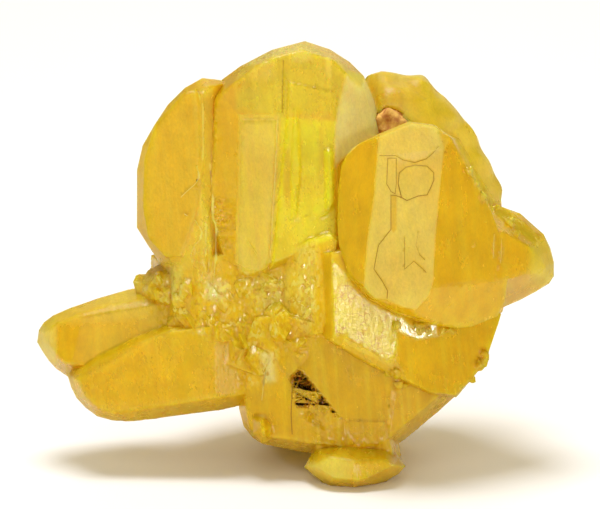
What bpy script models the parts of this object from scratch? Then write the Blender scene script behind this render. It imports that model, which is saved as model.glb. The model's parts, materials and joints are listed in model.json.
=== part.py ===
"""A miniature specimen of native sulfur: a cluster of intergrown crystals with clay in a crevice.

Run it with: blender --background --python part.py

The cluster is laid out on its front plane, in millimetres: x runs to the right, y into the specimen and
z up the plane, from the point where the main crystals meet. The whole cluster then leans back from the
upright, is cut off flat where it rests, and stands on its origin in metres with +Z up.
"""

import math
import random
from dataclasses import dataclass

import bmesh
import bpy
from mathutils import Matrix, Vector
from mathutils.bvhtree import BVHTree

# Driving dimensions, in millimetres and degrees
LEAN_BACK = 14.0
FLOOR_LEVEL = -18.9
STOCK = 90.0
RAGGED_LEAN = 4.0
SOCKET_GAP = 0.3
METRES_PER_MM = 0.001
GOLDEN_ANGLE = math.pi * (3.0 - math.sqrt(5.0))
NUGGET_FACES = 10
LUMP_FACES = 30
CLAY_FACES = 18
NEIGHBOURS = 8
NEIGHBOUR_REACH = 1.8
MOST_TRIES = 400
TILT_SPREAD = 0.45
FLAT_ANGLE = 0.5
SHORTEST_EDGE = 0.02
CLAY_MIDDLE = (6.2, 0.5, 11.2)
CLAY_REACH = (1.8, 1.6, 1.4)
CLAY_AXIS = (-0.15, 0.2, 1.0)
UPRIGHT = Vector((0.09, 0.0, 1.0))

SULFUR_COLOUR = (0.80, 0.52, 0.05, 1.0)
SULFUR_ROUGHNESS = 0.35
CLAY_COLOUR = (0.42, 0.20, 0.10, 1.0)
CLAY_ROUGHNESS = 0.85


@dataclass
class Crystal:
    """One crystal: its widest outline on the front plane, its front face and what falls away from it.

    outline holds the corners (x, z) of the widest section, whose depth is girdle at its middle and grows
    by slope per millimetre along x and z. The sides lean in by lean_front before that section and by
    lean_back behind it. A face is (azimuth, elevation, (x, y, z)): the way it faces, where azimuth 0 is
    the viewer and 90 the right, and a point on it. Each fold is ((x, z), (x, z), fall): a line on the
    front face, and the angle by which the next face falls away on the far side of it.
    """

    outline: tuple
    girdle: float
    front: tuple
    folds: tuple = ()
    faces: tuple = ()
    slope: tuple = (0.0, 0.0)
    lean_front: float = 12.0
    lean_back: float = 30.0

    def middle(self):
        """The mean of the outline's corners."""
        return Vector((sum(c[0] for c in self.outline), sum(c[1] for c in self.outline))) / len(self.outline)


@dataclass
class Growth:
    """A strewing of small crystals over a patch of the surface.

    The patch is an ellipse (across, z, half width, half height) as seen from the azimuth view, turned by
    turn degrees. sizes are the shortest and longest crystal, and slender their length for their width.
    sunk is how deep their middles lie, as a share of half their length. hollow is how far a place has to
    lie behind its surroundings for a crystal to grow there.
    """

    patch: tuple
    count: int
    sizes: tuple
    view: float = 0.0
    turn: float = 0.0
    slender: float = 1.5
    sunk: float = 0.1
    hollow: float = None


def facing(azimuth, elevation):
    """The unit vector out of a face, from its azimuth and elevation in degrees."""
    turn, rise = math.radians(azimuth), math.radians(elevation)
    return Vector((math.sin(turn) * math.cos(rise), -math.cos(turn) * math.cos(rise), math.sin(rise)))


def cleave(bm, point, outward):
    """Cuts the body off at a plane and closes it with one flat face."""
    cut = bmesh.ops.bisect_plane(
        bm,
        geom=bm.verts[:] + bm.edges[:] + bm.faces[:],
        dist=1e-5,
        plane_co=point,
        plane_no=outward,
        clear_outer=True,
    )
    rim = [item for item in cut["geom_cut"] if isinstance(item, bmesh.types.BMEdge)]
    if len(rim) > 2:
        bmesh.ops.contextual_create(bm, geom=rim)


def side_planes(crystal, ragged):
    """Yields a point and an outward normal for the front and back plane of every side of the outline."""
    middle = crystal.middle()
    placed = []
    for x, z in crystal.outline:
        depth = crystal.girdle + crystal.slope[0] * (x - middle.x) + crystal.slope[1] * (z - middle.y)
        placed.append(Vector((x, depth, z)))
    for start, end in zip(placed, placed[1:] + placed[:1]):
        along = end - start
        outward = Vector((along.z, 0.0, -along.x)).normalized()
        if outward.dot(start - Vector((middle.x, 0.0, middle.y))) < 0:
            outward = -outward
        for lean, depthwise in ((crystal.lean_front, -1.0), (crystal.lean_back, 1.0)):
            angle = math.radians(lean + ragged.uniform(-RAGGED_LEAN, RAGGED_LEAN))
            normal = outward * math.cos(angle) + Vector((0.0, depthwise * math.sin(angle), 0.0))
            normal -= along * (normal.dot(along) / along.length_squared)
            yield start, normal.normalized()


def fold_planes(crystal):
    """Yields a point and an outward normal for every face that falls away from the front face."""
    azimuth, elevation, point = crystal.front
    outward = facing(azimuth, elevation)
    anchor = Vector(point)

    def on_front(x, z):
        nearer = (outward.x * (x - anchor.x) + outward.z * (z - anchor.z)) / outward.y
        return Vector((x, anchor.y - nearer, z))

    for start, end, fall in crystal.folds:
        first, second = on_front(*start), on_front(*end)
        aside = (second - first).normalized().cross(outward)
        if aside.dot(first - anchor) < 0:
            aside = -aside
        angle = math.radians(fall)
        yield first, outward * math.cos(angle) + aside * math.sin(angle)


def new_mesh(name, bm):
    """The mesh of a finished body, in triangles that point out, without edges too short to join well."""
    bmesh.ops.remove_doubles(bm, verts=bm.verts[:], dist=SHORTEST_EDGE)
    bmesh.ops.triangulate(bm, faces=bm.faces[:])
    bmesh.ops.recalc_face_normals(bm, faces=bm.faces[:])
    mesh = bpy.data.meshes.new(name)
    bm.to_mesh(mesh)
    bm.free()
    return mesh


def crystal_mesh(name, crystal, seed):
    """The crystal, cleaved out of a block."""
    bm = bmesh.new()
    bmesh.ops.create_cube(bm, size=STOCK)
    ragged = random.Random(seed)
    for point, outward in side_planes(crystal, ragged):
        cleave(bm, point, outward)
    for azimuth, elevation, point in (crystal.front, *crystal.faces):
        cleave(bm, Vector(point), facing(azimuth, elevation))
    for point, outward in fold_planes(crystal):
        cleave(bm, point, outward)
    return new_mesh(name, bm)


# The crystals, from the front of the specimen to its back

LEFT_TABLET = Crystal(
    outline=((-10.6, 15.5), (-12.2, 14.6), (-13.7, 13.1), (-14.9, 11.3), (-16.0, 9.4), (-16.5, 7.2),
             (-16.5, 2.0), (-15.5, 0.4), (-14.3, -1.35), (-12.6, -3.15), (-10.35, -3.6), (-8.8, -2.25),
             (-7.4, 1.8), (-7.0, 9.0), (-7.7, 14.0), (-8.8, 15.3)),
    girdle=-1.4, slope=(-0.10, 0.10), lean_front=22, lean_back=36,
    front=(-4, 5, (-13.0, -4.3, 6.0)),
    folds=(((-10.7, 14.4), (-10.3, -1.1), 52), ((-15.3, 10.8), (-15.5, 1.2), 20),
           ((-15.0, 11.6), (-11.5, 14.6), 24), ((-13.6, 0.2), (-9.4, -1.6), 18)),
    faces=((180, 14, (-12.5, 5.0, 8.0)), (150, -10, (-12.0, 5.5, 6.0)), (205, 5, (-13.0, 5.0, 6.0))),
)

LEFT_TABLET_PLATE = Crystal(
    outline=((-12.1, 14.2), (-10.8, 14.4), (-10.5, 10.4), (-10.5, 6.6), (-11.0, 3.2), (-12.3, -0.6),
             (-13.8, -0.7), (-15.4, 1.0), (-15.9, 4.0), (-15.8, 8.0), (-14.8, 11.2)),
    girdle=-4.2, slope=(-0.08, 0.087), lean_front=32, lean_back=10,
    front=(-3, 4, (-12.4, -4.35, 8.5)),
    faces=((180, 0, (-12.0, -2.0, 8.0)),),
)

LEFT_TABLET_LEDGE = Crystal(
    outline=((-11.3, 3.2), (-9.9, 4.0), (-9.5, -1.4), (-10.2, -3.3), (-11.6, -3.2), (-12.0, 0.4)),
    girdle=-4.3, slope=(-0.14, 0.0), lean_front=34, lean_back=6,
    front=(2, 3, (-10.4, -4.72, 0.5)),
    faces=((180, 0, (-11.0, -1.5, 0.0)),),
)

RIBBED_TABLET = Crystal(
    outline=((-8.8, 15.4), (-7.2, 16.6), (-4.3, 18.1), (-1.35, 18.9), (0.9, 18.15), (2.7, 17.0), (4.0, 15.7),
             (4.9, 13.5), (5.5, 10.7), (5.6, 7.6), (4.4, 2.3), (-1.8, -0.75), (-5.2, -2.35), (-7.2, -2.25),
             (-9.2, -1.1), (-10.4, 2.7), (-10.1, 13.5)),
    girdle=-0.6, slope=(0.0, 0.16), lean_front=14, lean_back=34,
    front=(0, 5, (-1.5, -4.2, 6.0)),
    folds=(((-7.3, 15.0), (-7.1, -2.0), 7), ((2.5, 16.6), (1.3, 7.6), 22), ((-7.9, 11.9), (2.3, 12.8), 5),
           ((-7.2, 15.4), (-1.8, 17.5), 30), ((-0.2, 17.5), (2.5, 16.1), 30)),
    faces=((175, 14, (-2.0, 6.6, 9.0)), (140, 0, (3.0, 5.6, 8.0)), (215, 6, (-7.5, 5.4, 8.0)),
           (180, 45, (-2.0, 6.4, 14.0))),
)

RIBBED_TABLET_PLATE = Crystal(
    outline=((-2.9, 15.2), (1.6, 14.2), (2.0, 6.0), (1.6, 1.0), (-4.6, -1.9)),
    girdle=-3.8, slope=(0.0, 0.087), lean_front=36, lean_back=6,
    front=(2, 5, (-3.0, -4.45, 6.0)),
    folds=(((-3.6, 12.2), (1.8, 12.0), 6),),
    faces=((180, 0, (-1.5, -1.5, 6.0)),),
)

RIBBED_TABLET_RIB = Crystal(
    outline=((-2.5, 12.8), (-1.9, 12.8), (-1.6, 7.0), (-2.0, 2.6), (-2.7, 2.7), (-2.8, 7.0)),
    girdle=-4.2, slope=(0.0, 0.087), lean_front=46, lean_back=6,
    front=(2, 5, (-2.1, -4.6, 6.0)),
    faces=((180, 0, (-2.0, -2.5, 6.0)),),
)

RIBBED_TABLET_HOOK = Crystal(
    outline=((0.1, 9.0), (0.8, 9.4), (1.4, 9.0), (1.6, 4.0), (0.9, 3.2), (0.2, 3.4)),
    girdle=-4.1, slope=(0.0, 0.087), lean_front=40, lean_back=6,
    front=(2, 5, (0.7, -4.7, 6.0)),
    faces=((180, 0, (0.5, -2.5, 6.0)),),
)

RIBBED_TABLET_TOE = Crystal(
    outline=((1.3, 4.4), (1.6, 3.8), (0.9, 3.0), (-0.7, 2.3), (-1.1, 2.7), (0.2, 3.7)),
    girdle=-4.2, slope=(0.0, 0.087), lean_front=40, lean_back=6,
    front=(0, 4, (0.4, -4.9, 3.4)),
    faces=((180, 0, (0.5, -2.5, 3.4)),),
)

RIBBED_TABLET_STRIP = Crystal(
    outline=((-7.3, 12.0), (-3.6, 12.0), (-3.9, 5.0), (-4.25, -0.9), (-4.9, -2.0), (-6.0, -2.45),
             (-7.2, -2.3), (-7.6, -1.2)),
    girdle=-4.1, slope=(0.0, 0.087), lean_front=36, lean_back=6,
    front=(0, 5, (-5.9, -4.42, 5.0)),
    faces=((180, 0, (-5.9, -1.5, 0.0)),),
)

FRONT_PRISM = Crystal(
    outline=((5.2, 10.3), (7.8, 11.4), (10.1, 11.1), (12.2, 9.7), (13.5, 7.2), (15.0, 4.05), (16.1, 0.9),
             (16.75, -2.7), (16.9, -4.8), (16.1, -6.7), (13.5, -7.2), (9.9, -6.7), (6.75, -5.8), (4.05, -4.3),
             (2.5, -2.5), (1.6, 0.45), (1.3, 3.15), (1.2, 5.4), (1.45, 7.4), (2.25, 8.6), (3.3, 9.4)),
    girdle=-7.0, slope=(0.07, 0.0), lean_front=8, lean_back=22,
    front=(-2, 4, (7.4, -10.2, 3.0)),
    folds=(((5.3, 9.9), (3.8, -3.0), 42), ((10.9, 9.0), (9.9, -3.1), 35), ((5.2, 8.3), (10.9, 8.9), 13),
           ((4.5, -4.2), (8.1, -5.2), 58), ((3.8, -3.0), (4.5, -4.2), 52), ((8.1, -5.2), (9.9, -3.3), 48)),
    faces=((180, 0, (8.0, 3.0, 3.0)),),
)

RIGHT_TIP = Crystal(
    outline=((14.2, 4.05), (16.2, 3.95), (18.0, 3.3), (20.1, 1.45), (20.7, 0.2), (21.05, -1.1),
             (21.05, -2.35), (20.6, -3.05), (19.5, -3.7), (18.0, -4.5), (15.3, -5.7), (11.7, -4.5),
             (11.7, 1.8)),
    girdle=-1.6, slope=(0.10, 0.0), lean_front=24, lean_back=36,
    front=(31, 1, (17.0, -6.16, -1.0)),
    folds=(((16.6, 2.6), (19.8, 0.7), 26), ((19.0, 0.2), (19.3, -3.0), 24), ((18.9, -1.0), (17.4, -4.2), 20)),
    faces=((150, 10, (18.0, 4.6, 0.0)), (200, -10, (15.0, 5.5, 0.0))),
)

LOWER_PRISM = Crystal(
    outline=((-0.1, -0.2), (2.25, 0.2), (13.5, -3.6), (16.65, -5.6), (16.1, -7.0), (15.2, -9.0),
             (14.4, -10.5), (13.2, -12.0), (12.15, -13.2), (9.9, -13.1), (6.3, -11.5), (2.25, -9.2),
             (-0.1, -7.65)),
    girdle=-4.2, slope=(0.16, 0.0), lean_front=8, lean_back=26,
    front=(-2, 4, (3.6, -7.6, -6.3)),
    folds=(((6.85, -4.5), (6.65, -10.6), 31), ((1.0, -0.5), (1.15, -8.1), 52),
           ((1.2, -7.9), (6.6, -10.3), 36), ((7.6, -9.6), (13.5, -9.0), 20)),
    faces=((180, 0, (8.0, 6.0, -6.0)),),
)

BASE_BLOCK = Crystal(
    outline=((-7.3, -8.1), (-7.3, -14.2), (-6.9, -15.75), (-6.1, -16.8), (-5.2, -17.4), (-1.8, -18.1),
             (0.9, -18.45), (3.25, -18.55), (5.85, -18.2), (7.4, -17.2), (9.0, -15.9), (10.8, -14.4),
             (12.8, -12.6), (12.8, -9.9), (7.2, -6.3), (-1.8, -4.5), (-6.3, -5.4)),
    girdle=-1.8, slope=(0.06, 0.0), lean_front=16, lean_back=24,
    front=(-3, -5, (0.9, -5.9, -13.0)),
    folds=(((-3.1, -9.0), (-2.9, -18.0), 13), ((-5.9, -11.0), (-5.2, -17.1), 32),
           ((6.9, -10.8), (5.9, -17.9), 22), ((-5.2, -16.9), (5.9, -17.6), 34)),
    faces=((180, -6, (2.0, 8.5, -12.0)), (140, 0, (8.0, 6.5, -12.0)), (222, 0, (-4.5, 6.5, -12.0))),
)

BASE_RIB = Crystal(
    outline=((6.5, -10.9), (7.5, -11.1), (7.5, -13.0), (6.8, -13.4), (6.3, -12.6)),
    girdle=-4.8, lean_front=30, lean_back=6,
    front=(6, -8, (6.9, -6.0, -12.0)),
    faces=((180, 0, (6.9, -3.0, -12.0)),),
)

BASE_BUD = Crystal(
    outline=((-6.1, -14.8), (-5.0, -14.5), (-4.0, -15.6), (-4.3, -16.9), (-5.2, -17.3), (-6.0, -16.5)),
    girdle=-4.6, lean_front=28, lean_back=10,
    front=(-16, 8, (-5.1, -6.2, -15.8)),
    faces=((180, 0, (-5.0, -2.0, -15.8)),),
)

LEFT_BLADE = Crystal(
    outline=((-22.7, -11.25), (-22.05, -10.35), (-19.8, -8.8), (-17.1, -7.4), (-13.95, -6.1), (-9.2, -5.4),
             (-5.85, -6.5), (-5.6, -13.05), (-6.75, -13.85), (-9.0, -14.4), (-11.7, -14.75), (-14.4, -15.1),
             (-17.1, -15.4), (-18.7, -15.3), (-20.0, -14.95), (-21.05, -14.2), (-21.9, -13.3),
             (-22.4, -12.3)),
    girdle=-1.9, slope=(-0.03, 0.0), lean_front=18, lean_back=32,
    front=(-4, -1, (-15.3, -5.0, -10.8)),
    folds=(((-21.2, -11.5), (-13.9, -7.2), 32), ((-9.2, -6.1), (-9.1, -14.8), 19),
           ((-20.7, -11.0), (-20.2, -14.9), 14), ((-21.1, -13.8), (-8.6, -13.9), 26)),
    faces=((180, 10, (-14.0, 3.2, -11.0)),),
)

LEFT_SPEAR = Crystal(
    outline=((-25.55, -8.3), (-25.4, -7.2), (-24.95, -6.5), (-24.1, -5.85), (-22.5, -5.15), (-20.05, -4.3),
             (-17.55, -3.6), (-14.4, -3.0), (-10.8, -3.15), (-9.45, -7.65), (-14.4, -11.0), (-19.8, -12.05),
             (-22.7, -11.5), (-23.75, -10.8), (-24.5, -10.0), (-25.1, -9.1)),
    girdle=0.6, slope=(-0.04, 0.0), lean_front=20, lean_back=34,
    front=(-6, 8, (-18.9, -3.0, -7.65)),
    folds=(((-23.6, -6.1), (-23.6, -11.0), 42), ((-21.4, -6.5), (-22.3, -10.6), 13),
           ((-24.1, -6.5), (-15.3, -5.0), 32)),
    faces=((180, 20, (-16.0, 6.2, -6.0)), (200, -25, (-18.0, 5.2, -8.5))),
)

NOTCH_BLOCK = Crystal(
    outline=((-16.2, -2.9), (-15.5, -1.8), (-14.4, -1.2), (-13.3, -1.1), (-11.7, -2.25), (-11.5, -4.5),
             (-13.05, -6.1), (-15.3, -5.4), (-16.2, -4.3)),
    girdle=-0.8, lean_front=20, lean_back=24,
    front=(-14, 16, (-14.2, -3.3, -2.6)),
    folds=(((-13.6, -1.2), (-13.9, -5.0), 34), ((-15.6, -3.6), (-12.0, -4.8), 20)),
    faces=((180, 0, (-14.0, 3.0, -3.0)),),
)

BROKEN_CORE = Crystal(
    outline=((-15.3, -0.45), (-7.2, 1.6), (3.0, 2.8), (3.6, -4.5), (1.35, -12.6), (-4.5, -13.95),
             (-10.8, -11.7), (-15.3, -6.3)),
    girdle=2.0, lean_front=16, lean_back=20,
    front=(3, 4, (-6.5, -4.9, -6.5)),
    folds=(((-11.2, 0.0), (-10.0, -11.0), 12),),
    faces=((180, 0, (0.0, 8.0, 0.0)),),
)

SPLINTER_BLOCK = Crystal(
    outline=((-3.4, 0.2), (-1.6, 1.4), (0.9, 2.2), (2.2, 1.2), (0.9, -8.0), (-2.6, -8.6), (-3.6, -5.0)),
    girdle=-2.5, lean_front=12, lean_back=10,
    front=(-22, 6, (-0.6, -6.0, -3.0)),
    folds=(((-1.9, 0.6), (-2.0, -7.6), 12), ((-0.4, 0.8), (-0.7, -7.8), 10)),
    faces=((180, 0, (-1.0, 2.0, -3.0)),),
)

FOOT = Crystal(
    outline=((-1.5, -19.35), (-1.0, -18.4), (-0.2, -17.6), (2.25, -17.2), (5.85, -17.4), (6.95, -18.3),
             (7.65, -19.25), (7.0, -20.0), (5.4, -20.9), (2.7, -21.6), (0.9, -21.3), (-0.8, -19.95)),
    girdle=-4.8, slope=(0.05, 0.0), lean_front=18, lean_back=22,
    front=(-6, 2, (2.4, -8.2, -19.3)),
    folds=(((0.9, -18.0), (1.0, -20.9), 24), ((3.05, -18.0), (3.15, -21.0), 22),
           ((5.4, -18.2), (5.2, -20.6), 40), ((-0.5, -20.1), (5.6, -20.5), 24)),
    faces=((180, 0, (3.0, -0.5, -19.0)),),
)

FOOT_ROOT = Crystal(
    outline=((-0.6, -14.5), (6.6, -14.5), (7.3, -18.4), (6.0, -20.4), (0.6, -20.9), (-0.9, -18.6)),
    girdle=-2.4, lean_front=14, lean_back=24,
    front=(-4, -10, (3.0, -5.3, -18.2)),
    faces=((170, -20, (3.0, 3.0, -18.0)),),
)

BACK_PLATE = Crystal(
    outline=((3.7, 14.8), (4.4, 15.9), (5.6, 16.3), (9.2, 15.7), (11.0, 14.5), (13.3, 11.2), (15.3, 8.0),
             (16.4, 6.0), (16.8, 4.0), (15.3, -0.9), (9.9, -3.6), (2.7, -1.8), (2.25, 9.0)),
    girdle=3.6, slope=(0.08, 0.05), lean_front=26, lean_back=38,
    front=(7, 14, (8.0, -0.6, 11.0)),
    folds=(((9.4, 15.0), (14.6, 7.0), 22), ((5.0, 14.6), (9.4, 14.9), 22)),
    faces=((170, 10, (9.0, 10.6, 6.0)), (140, -14, (13.0, 8.6, 3.0)), (200, 40, (6.0, 9.0, 13.0))),
)

REAR_BLOCK = Crystal(
    outline=((-8.1, 6.3), (-1.8, 11.0), (5.4, 10.0), (9.9, 4.5), (11.0, -2.7), (9.0, -10.0), (3.6, -14.6),
             (-2.7, -15.4), (-7.2, -11.8), (-9.5, -4.5), (-9.9, 1.8)),
    girdle=5.4, slope=(0.0, 0.1), lean_front=20, lean_back=36,
    front=(0, 0, (0.0, 0.0, 0.0)),
    faces=((176, 12, (0.0, 12.6, -1.0)), (140, 4, (6.0, 10.6, -2.0)), (214, -8, (-6.0, 9.6, -2.0)),
           (185, -34, (0.0, 11.2, -9.0)), (178, 44, (-1.0, 10.8, 6.0))),
)

REAR_PRISM = Crystal(
    outline=((4.6, 2.0), (9.0, 5.5), (14.0, 3.4), (17.6, -1.2), (16.6, -5.6), (13.0, -9.5), (7.6, -10.7),
             (4.0, -5.0)),
    girdle=4.2, slope=(-0.16, 0.0), lean_front=20, lean_back=34,
    front=(0, 0, (10.0, -1.0, 0.0)),
    faces=((158, 6, (11.0, 11.4, -2.0)), (118, -6, (15.4, 7.0, -3.0)), (200, 30, (9.0, 10.8, 2.0))),
)

REAR_SPEAR = Crystal(
    outline=((-15.4, -3.6), (-13.0, 1.6), (-8.0, 3.6), (-3.0, -1.0), (-4.0, -8.0), (-9.0, -11.6),
             (-14.6, -9.8), (-16.6, -6.6)),
    girdle=5.0, slope=(0.16, 0.0), lean_front=24, lean_back=40,
    front=(0, 0, (-9.0, 0.5, -3.0)),
    faces=((196, 16, (-10.0, 9.6, -2.0)), (226, -12, (-13.6, 7.0, -4.0)), (170, -30, (-8.0, 8.6, -8.0))),
)

REAR_BASE = Crystal(
    outline=((-6.8, -7.0), (-7.0, -12.0), (-5.9, -16.4), (-3.0, -18.6), (6.0, -18.8), (8.4, -15.8),
             (10.0, -10.6), (8.0, -6.0), (0.0, -4.0)),
    girdle=7.4, slope=(0.05, 0.06), lean_front=24, lean_back=24,
    front=(0, 0, (1.0, 1.0, -13.0)),
    faces=((204, 8, (-4.0, 12.6, -13.0)), (172, 14, (2.0, 13.2, -13.0)), (146, 2, (7.6, 11.4, -13.0)),
           (180, 44, (1.0, 11.6, -9.0))),
)


CRYSTALS = {
    "ribbed_tablet": RIBBED_TABLET,
    "ribbed_tablet_plate": RIBBED_TABLET_PLATE,
    "ribbed_tablet_rib": RIBBED_TABLET_RIB,
    "ribbed_tablet_hook": RIBBED_TABLET_HOOK,
    "ribbed_tablet_toe": RIBBED_TABLET_TOE,
    "ribbed_tablet_strip": RIBBED_TABLET_STRIP,
    "left_tablet": LEFT_TABLET,
    "left_tablet_plate": LEFT_TABLET_PLATE,
    "left_tablet_ledge": LEFT_TABLET_LEDGE,
    "front_prism": FRONT_PRISM,
    "right_tip": RIGHT_TIP,
    "lower_prism": LOWER_PRISM,
    "base_block": BASE_BLOCK,
    "base_rib": BASE_RIB,
    "base_bud": BASE_BUD,
    "left_blade": LEFT_BLADE,
    "left_spear": LEFT_SPEAR,
    "notch_block": NOTCH_BLOCK,
    "broken_core": BROKEN_CORE,
    "splinter_block": SPLINTER_BLOCK,
    "foot": FOOT,
    "foot_root": FOOT_ROOT,
    "back_plate": BACK_PLATE,
    "rear_block": REAR_BLOCK,
    "rear_prism": REAR_PRISM,
    "rear_spear": REAR_SPEAR,
    "rear_base": REAR_BASE,
}


# The lumps along the edge of the back plate: where each lies (x, y, z) and its radius
PLATE_LUMPS = (
    (5.9, 3.4, 13.7, 2.6), (8.5, 3.8, 13.0, 3.1), (10.6, 3.4, 11.5, 3.0), (12.3, 3.9, 9.6, 2.6),
    (13.5, 3.9, 7.5, 2.7), (14.2, 4.6, 5.3, 2.8),
    (10.6, 7.0, 9.8, 3.0), (12.6, 7.0, 6.0, 3.2), (7.6, 7.6, 11.2, 2.8),
)

# Where small crystals grow: the broken middle, the seams, and the hollows of the back and sides
GROWTHS = (
    Growth(patch=(-7.0, -4.8, 6.6, 2.2), count=30, sizes=(2.0, 4.4), turn=4, slender=1.5, sunk=0.66),
    Growth(patch=(-1.4, -3.0, 1.3, 3.4), count=14, sizes=(2.0, 4.0), slender=2.8, sunk=0.5),
    Growth(patch=(-4.6, -8.6, 3.4, 3.0), count=18, sizes=(2.0, 4.0), slender=1.5, sunk=0.68),
    Growth(patch=(-13.2, -3.2, 1.8, 1.6), count=6, sizes=(1.4, 2.4), sunk=0.35),
    Growth(patch=(14.8, 4.6, 4.6, 0.5), count=12, sizes=(0.6, 1.2), turn=-50),
    Growth(patch=(15.0, -9.4, 2.9, 0.35), count=8, sizes=(0.7, 1.3), turn=-122),
    Growth(patch=(9.6, -7.0, 3.2, 0.25), count=8, sizes=(0.6, 1.1), turn=-6),
    Growth(patch=(6.5, -11.2, 1.4, 0.5), count=5, sizes=(0.6, 1.2), turn=-35),
    Growth(patch=(2.0, -2.0, 12.0, 9.0), count=9, sizes=(5.0, 8.5), view=180, slender=1.5, hollow=0.3),
    Growth(patch=(2.0, -1.0, 15.0, 14.0), count=34, sizes=(1.4, 3.2), view=180, slender=1.7, hollow=0.8),
    Growth(patch=(2.0, -2.0, 7.0, 13.0), count=18, sizes=(1.2, 2.8), view=90, slender=1.7, hollow=0.8),
    Growth(patch=(-2.0, -2.0, 7.0, 13.0), count=18, sizes=(1.2, 2.8), view=270, slender=1.7, hollow=0.8),
)


def nugget_mesh(name, centre, axis, reach, faces, ragged):
    """A lump or small crystal: faces that touch an ellipsoid of half widths reach, lengthwise along axis."""
    bm = bmesh.new()
    bmesh.ops.create_cube(bm, size=STOCK)
    start = ragged.uniform(0.0, math.tau)
    for index in range(faces):
        rise = 1.0 - 2.0 * (index + ragged.uniform(0.2, 0.8)) / faces
        turn = start + index * GOLDEN_ANGLE + ragged.uniform(-0.4, 0.4)
        ring = math.sqrt(1.0 - rise * rise)
        outward = Vector((ring * math.cos(turn), ring * math.sin(turn), rise))
        support = Vector(half * part for half, part in zip(reach, outward)).length
        cleave(bm, outward * support * ragged.uniform(0.8, 1.0), outward)
    place = Matrix.Translation(centre) @ axis.to_track_quat("Z", "Y").to_matrix().to_4x4()
    bmesh.ops.transform(bm, matrix=place, verts=bm.verts[:])
    return new_mesh(name, bm)


def surface_tree(objects):
    """A search tree over the faces of several bodies."""
    corners, faces = [], []
    for obj in objects:
        first = len(corners)
        corners += [vertex.co.copy() for vertex in obj.data.vertices]
        faces += [[first + index for index in polygon.vertices] for polygon in obj.data.polygons]
    return BVHTree.FromPolygons(corners, faces)


def hollowness(tree, origin, into, across, depth):
    """How far a point seen along into lies behind the surface around it, or None at the outline."""
    around = []
    for index in range(NEIGHBOURS):
        angle = math.tau * index / NEIGHBOURS
        aside = across * math.cos(angle) + Vector((0.0, 0.0, math.sin(angle)))
        distance = tree.ray_cast(origin + aside * NEIGHBOUR_REACH, into)[3]
        if distance is None:
            return None
        around.append(distance)
    return depth - sum(around) / len(around)


def grow(growth, number, tree, collection):
    """Strews the small crystals of one patch, each half sunk where it meets the surface."""
    ragged = random.Random(100 + number)
    turn, view = math.radians(growth.turn), math.radians(growth.view)
    across = Vector((math.cos(view), math.sin(view), 0.0))
    into = Vector((-math.sin(view), math.cos(view), 0.0))
    grown, tries = 0, 0
    while grown < growth.count and tries < MOST_TRIES:
        tries += 1
        angle, out = ragged.uniform(0.0, math.tau), math.sqrt(ragged.random())
        u, v = growth.patch[2] * out * math.cos(angle), growth.patch[3] * out * math.sin(angle)
        right = growth.patch[0] + u * math.cos(turn) - v * math.sin(turn)
        up = growth.patch[1] + u * math.sin(turn) + v * math.cos(turn)
        origin = across * right + Vector((0.0, 0.0, up)) - into * STOCK
        point, normal, _, depth = tree.ray_cast(origin, into)
        if point is None:
            continue
        if growth.hollow is not None:
            hollow = hollowness(tree, origin, into, across, depth)
            if hollow is None or hollow < growth.hollow:
                continue
        half = ragged.uniform(*growth.sizes) / 2.0
        tilt = Vector([ragged.gauss(0.0, TILT_SPREAD) for _ in range(3)])
        axis = (UPRIGHT + tilt).normalized()
        reach = (half / growth.slender, half / growth.slender * ragged.uniform(0.6, 1.0), half)
        name = f"growth_{number}_{grown}"
        centre = point - normal * half * growth.sunk
        helper(name, nugget_mesh(name, centre, axis, reach, NUGGET_FACES, ragged), collection)
        grown += 1


def clear_scene():
    """Removes the startup scene's objects."""
    for obj in list(bpy.data.objects):
        bpy.data.objects.remove(obj, do_unlink=True)


def new_collection(name):
    """A collection in the scene."""
    collection = bpy.data.collections.new(name)
    bpy.context.scene.collection.children.link(collection)
    return collection


def helper(name, mesh, collection):
    """An object that shapes another and isn't part of the specimen."""
    obj = bpy.data.objects.new(name, mesh)
    obj.hide_render = True
    obj.display_type = "WIRE"
    collection.objects.link(obj)
    return obj


def plain_material(name, colour, roughness):
    """A material of one colour."""
    material = bpy.data.materials.new(name)
    material.use_nodes = True
    shader = material.node_tree.nodes["Principled BSDF"]
    shader.inputs["Base Color"].default_value = colour
    shader.inputs["Roughness"].default_value = roughness
    material.diffuse_color = colour
    return material


def crystal_helpers(collection):
    """Makes every crystal, the lumps of the back plate and the small growths, as bodies to be joined."""
    for seed, (name, crystal) in enumerate(CRYSTALS.items()):
        helper(name, crystal_mesh(name, crystal, seed), collection)
    tree = surface_tree(collection.objects)
    ragged = random.Random(40)
    for index, (x, y, z, radius) in enumerate(PLATE_LUMPS):
        name = f"plate_lump_{index}"
        reach = (radius, radius * ragged.uniform(0.8, 1.1), radius * ragged.uniform(0.8, 1.1))
        mesh = nugget_mesh(name, Vector((x, y, z)), UPRIGHT, reach, LUMP_FACES, ragged)
        helper(name, mesh, collection)
    for number, growth in enumerate(GROWTHS):
        grow(growth, number, tree, collection)


def floor_mesh():
    """A block that fills everything under the level where the specimen rests, seen in the leaning frame."""
    bm = bmesh.new()
    bmesh.ops.create_cube(bm, size=STOCK)
    bmesh.ops.translate(bm, vec=(0.0, 0.0, FLOOR_LEVEL - STOCK / 2.0), verts=bm.verts[:])
    upright = Matrix.Rotation(math.radians(LEAN_BACK), 4, "X")
    bmesh.ops.transform(bm, matrix=upright, verts=bm.verts[:])
    return new_mesh("floor_block", bm)


def clay_mesh(name, gap):
    """The clay remnant, grown outwards by a gap."""
    reach = tuple(half + gap for half in CLAY_REACH)
    ragged = random.Random(7)
    return nugget_mesh(name, Vector(CLAY_MIDDLE), Vector(CLAY_AXIS).normalized(), reach, CLAY_FACES, ragged)


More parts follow.
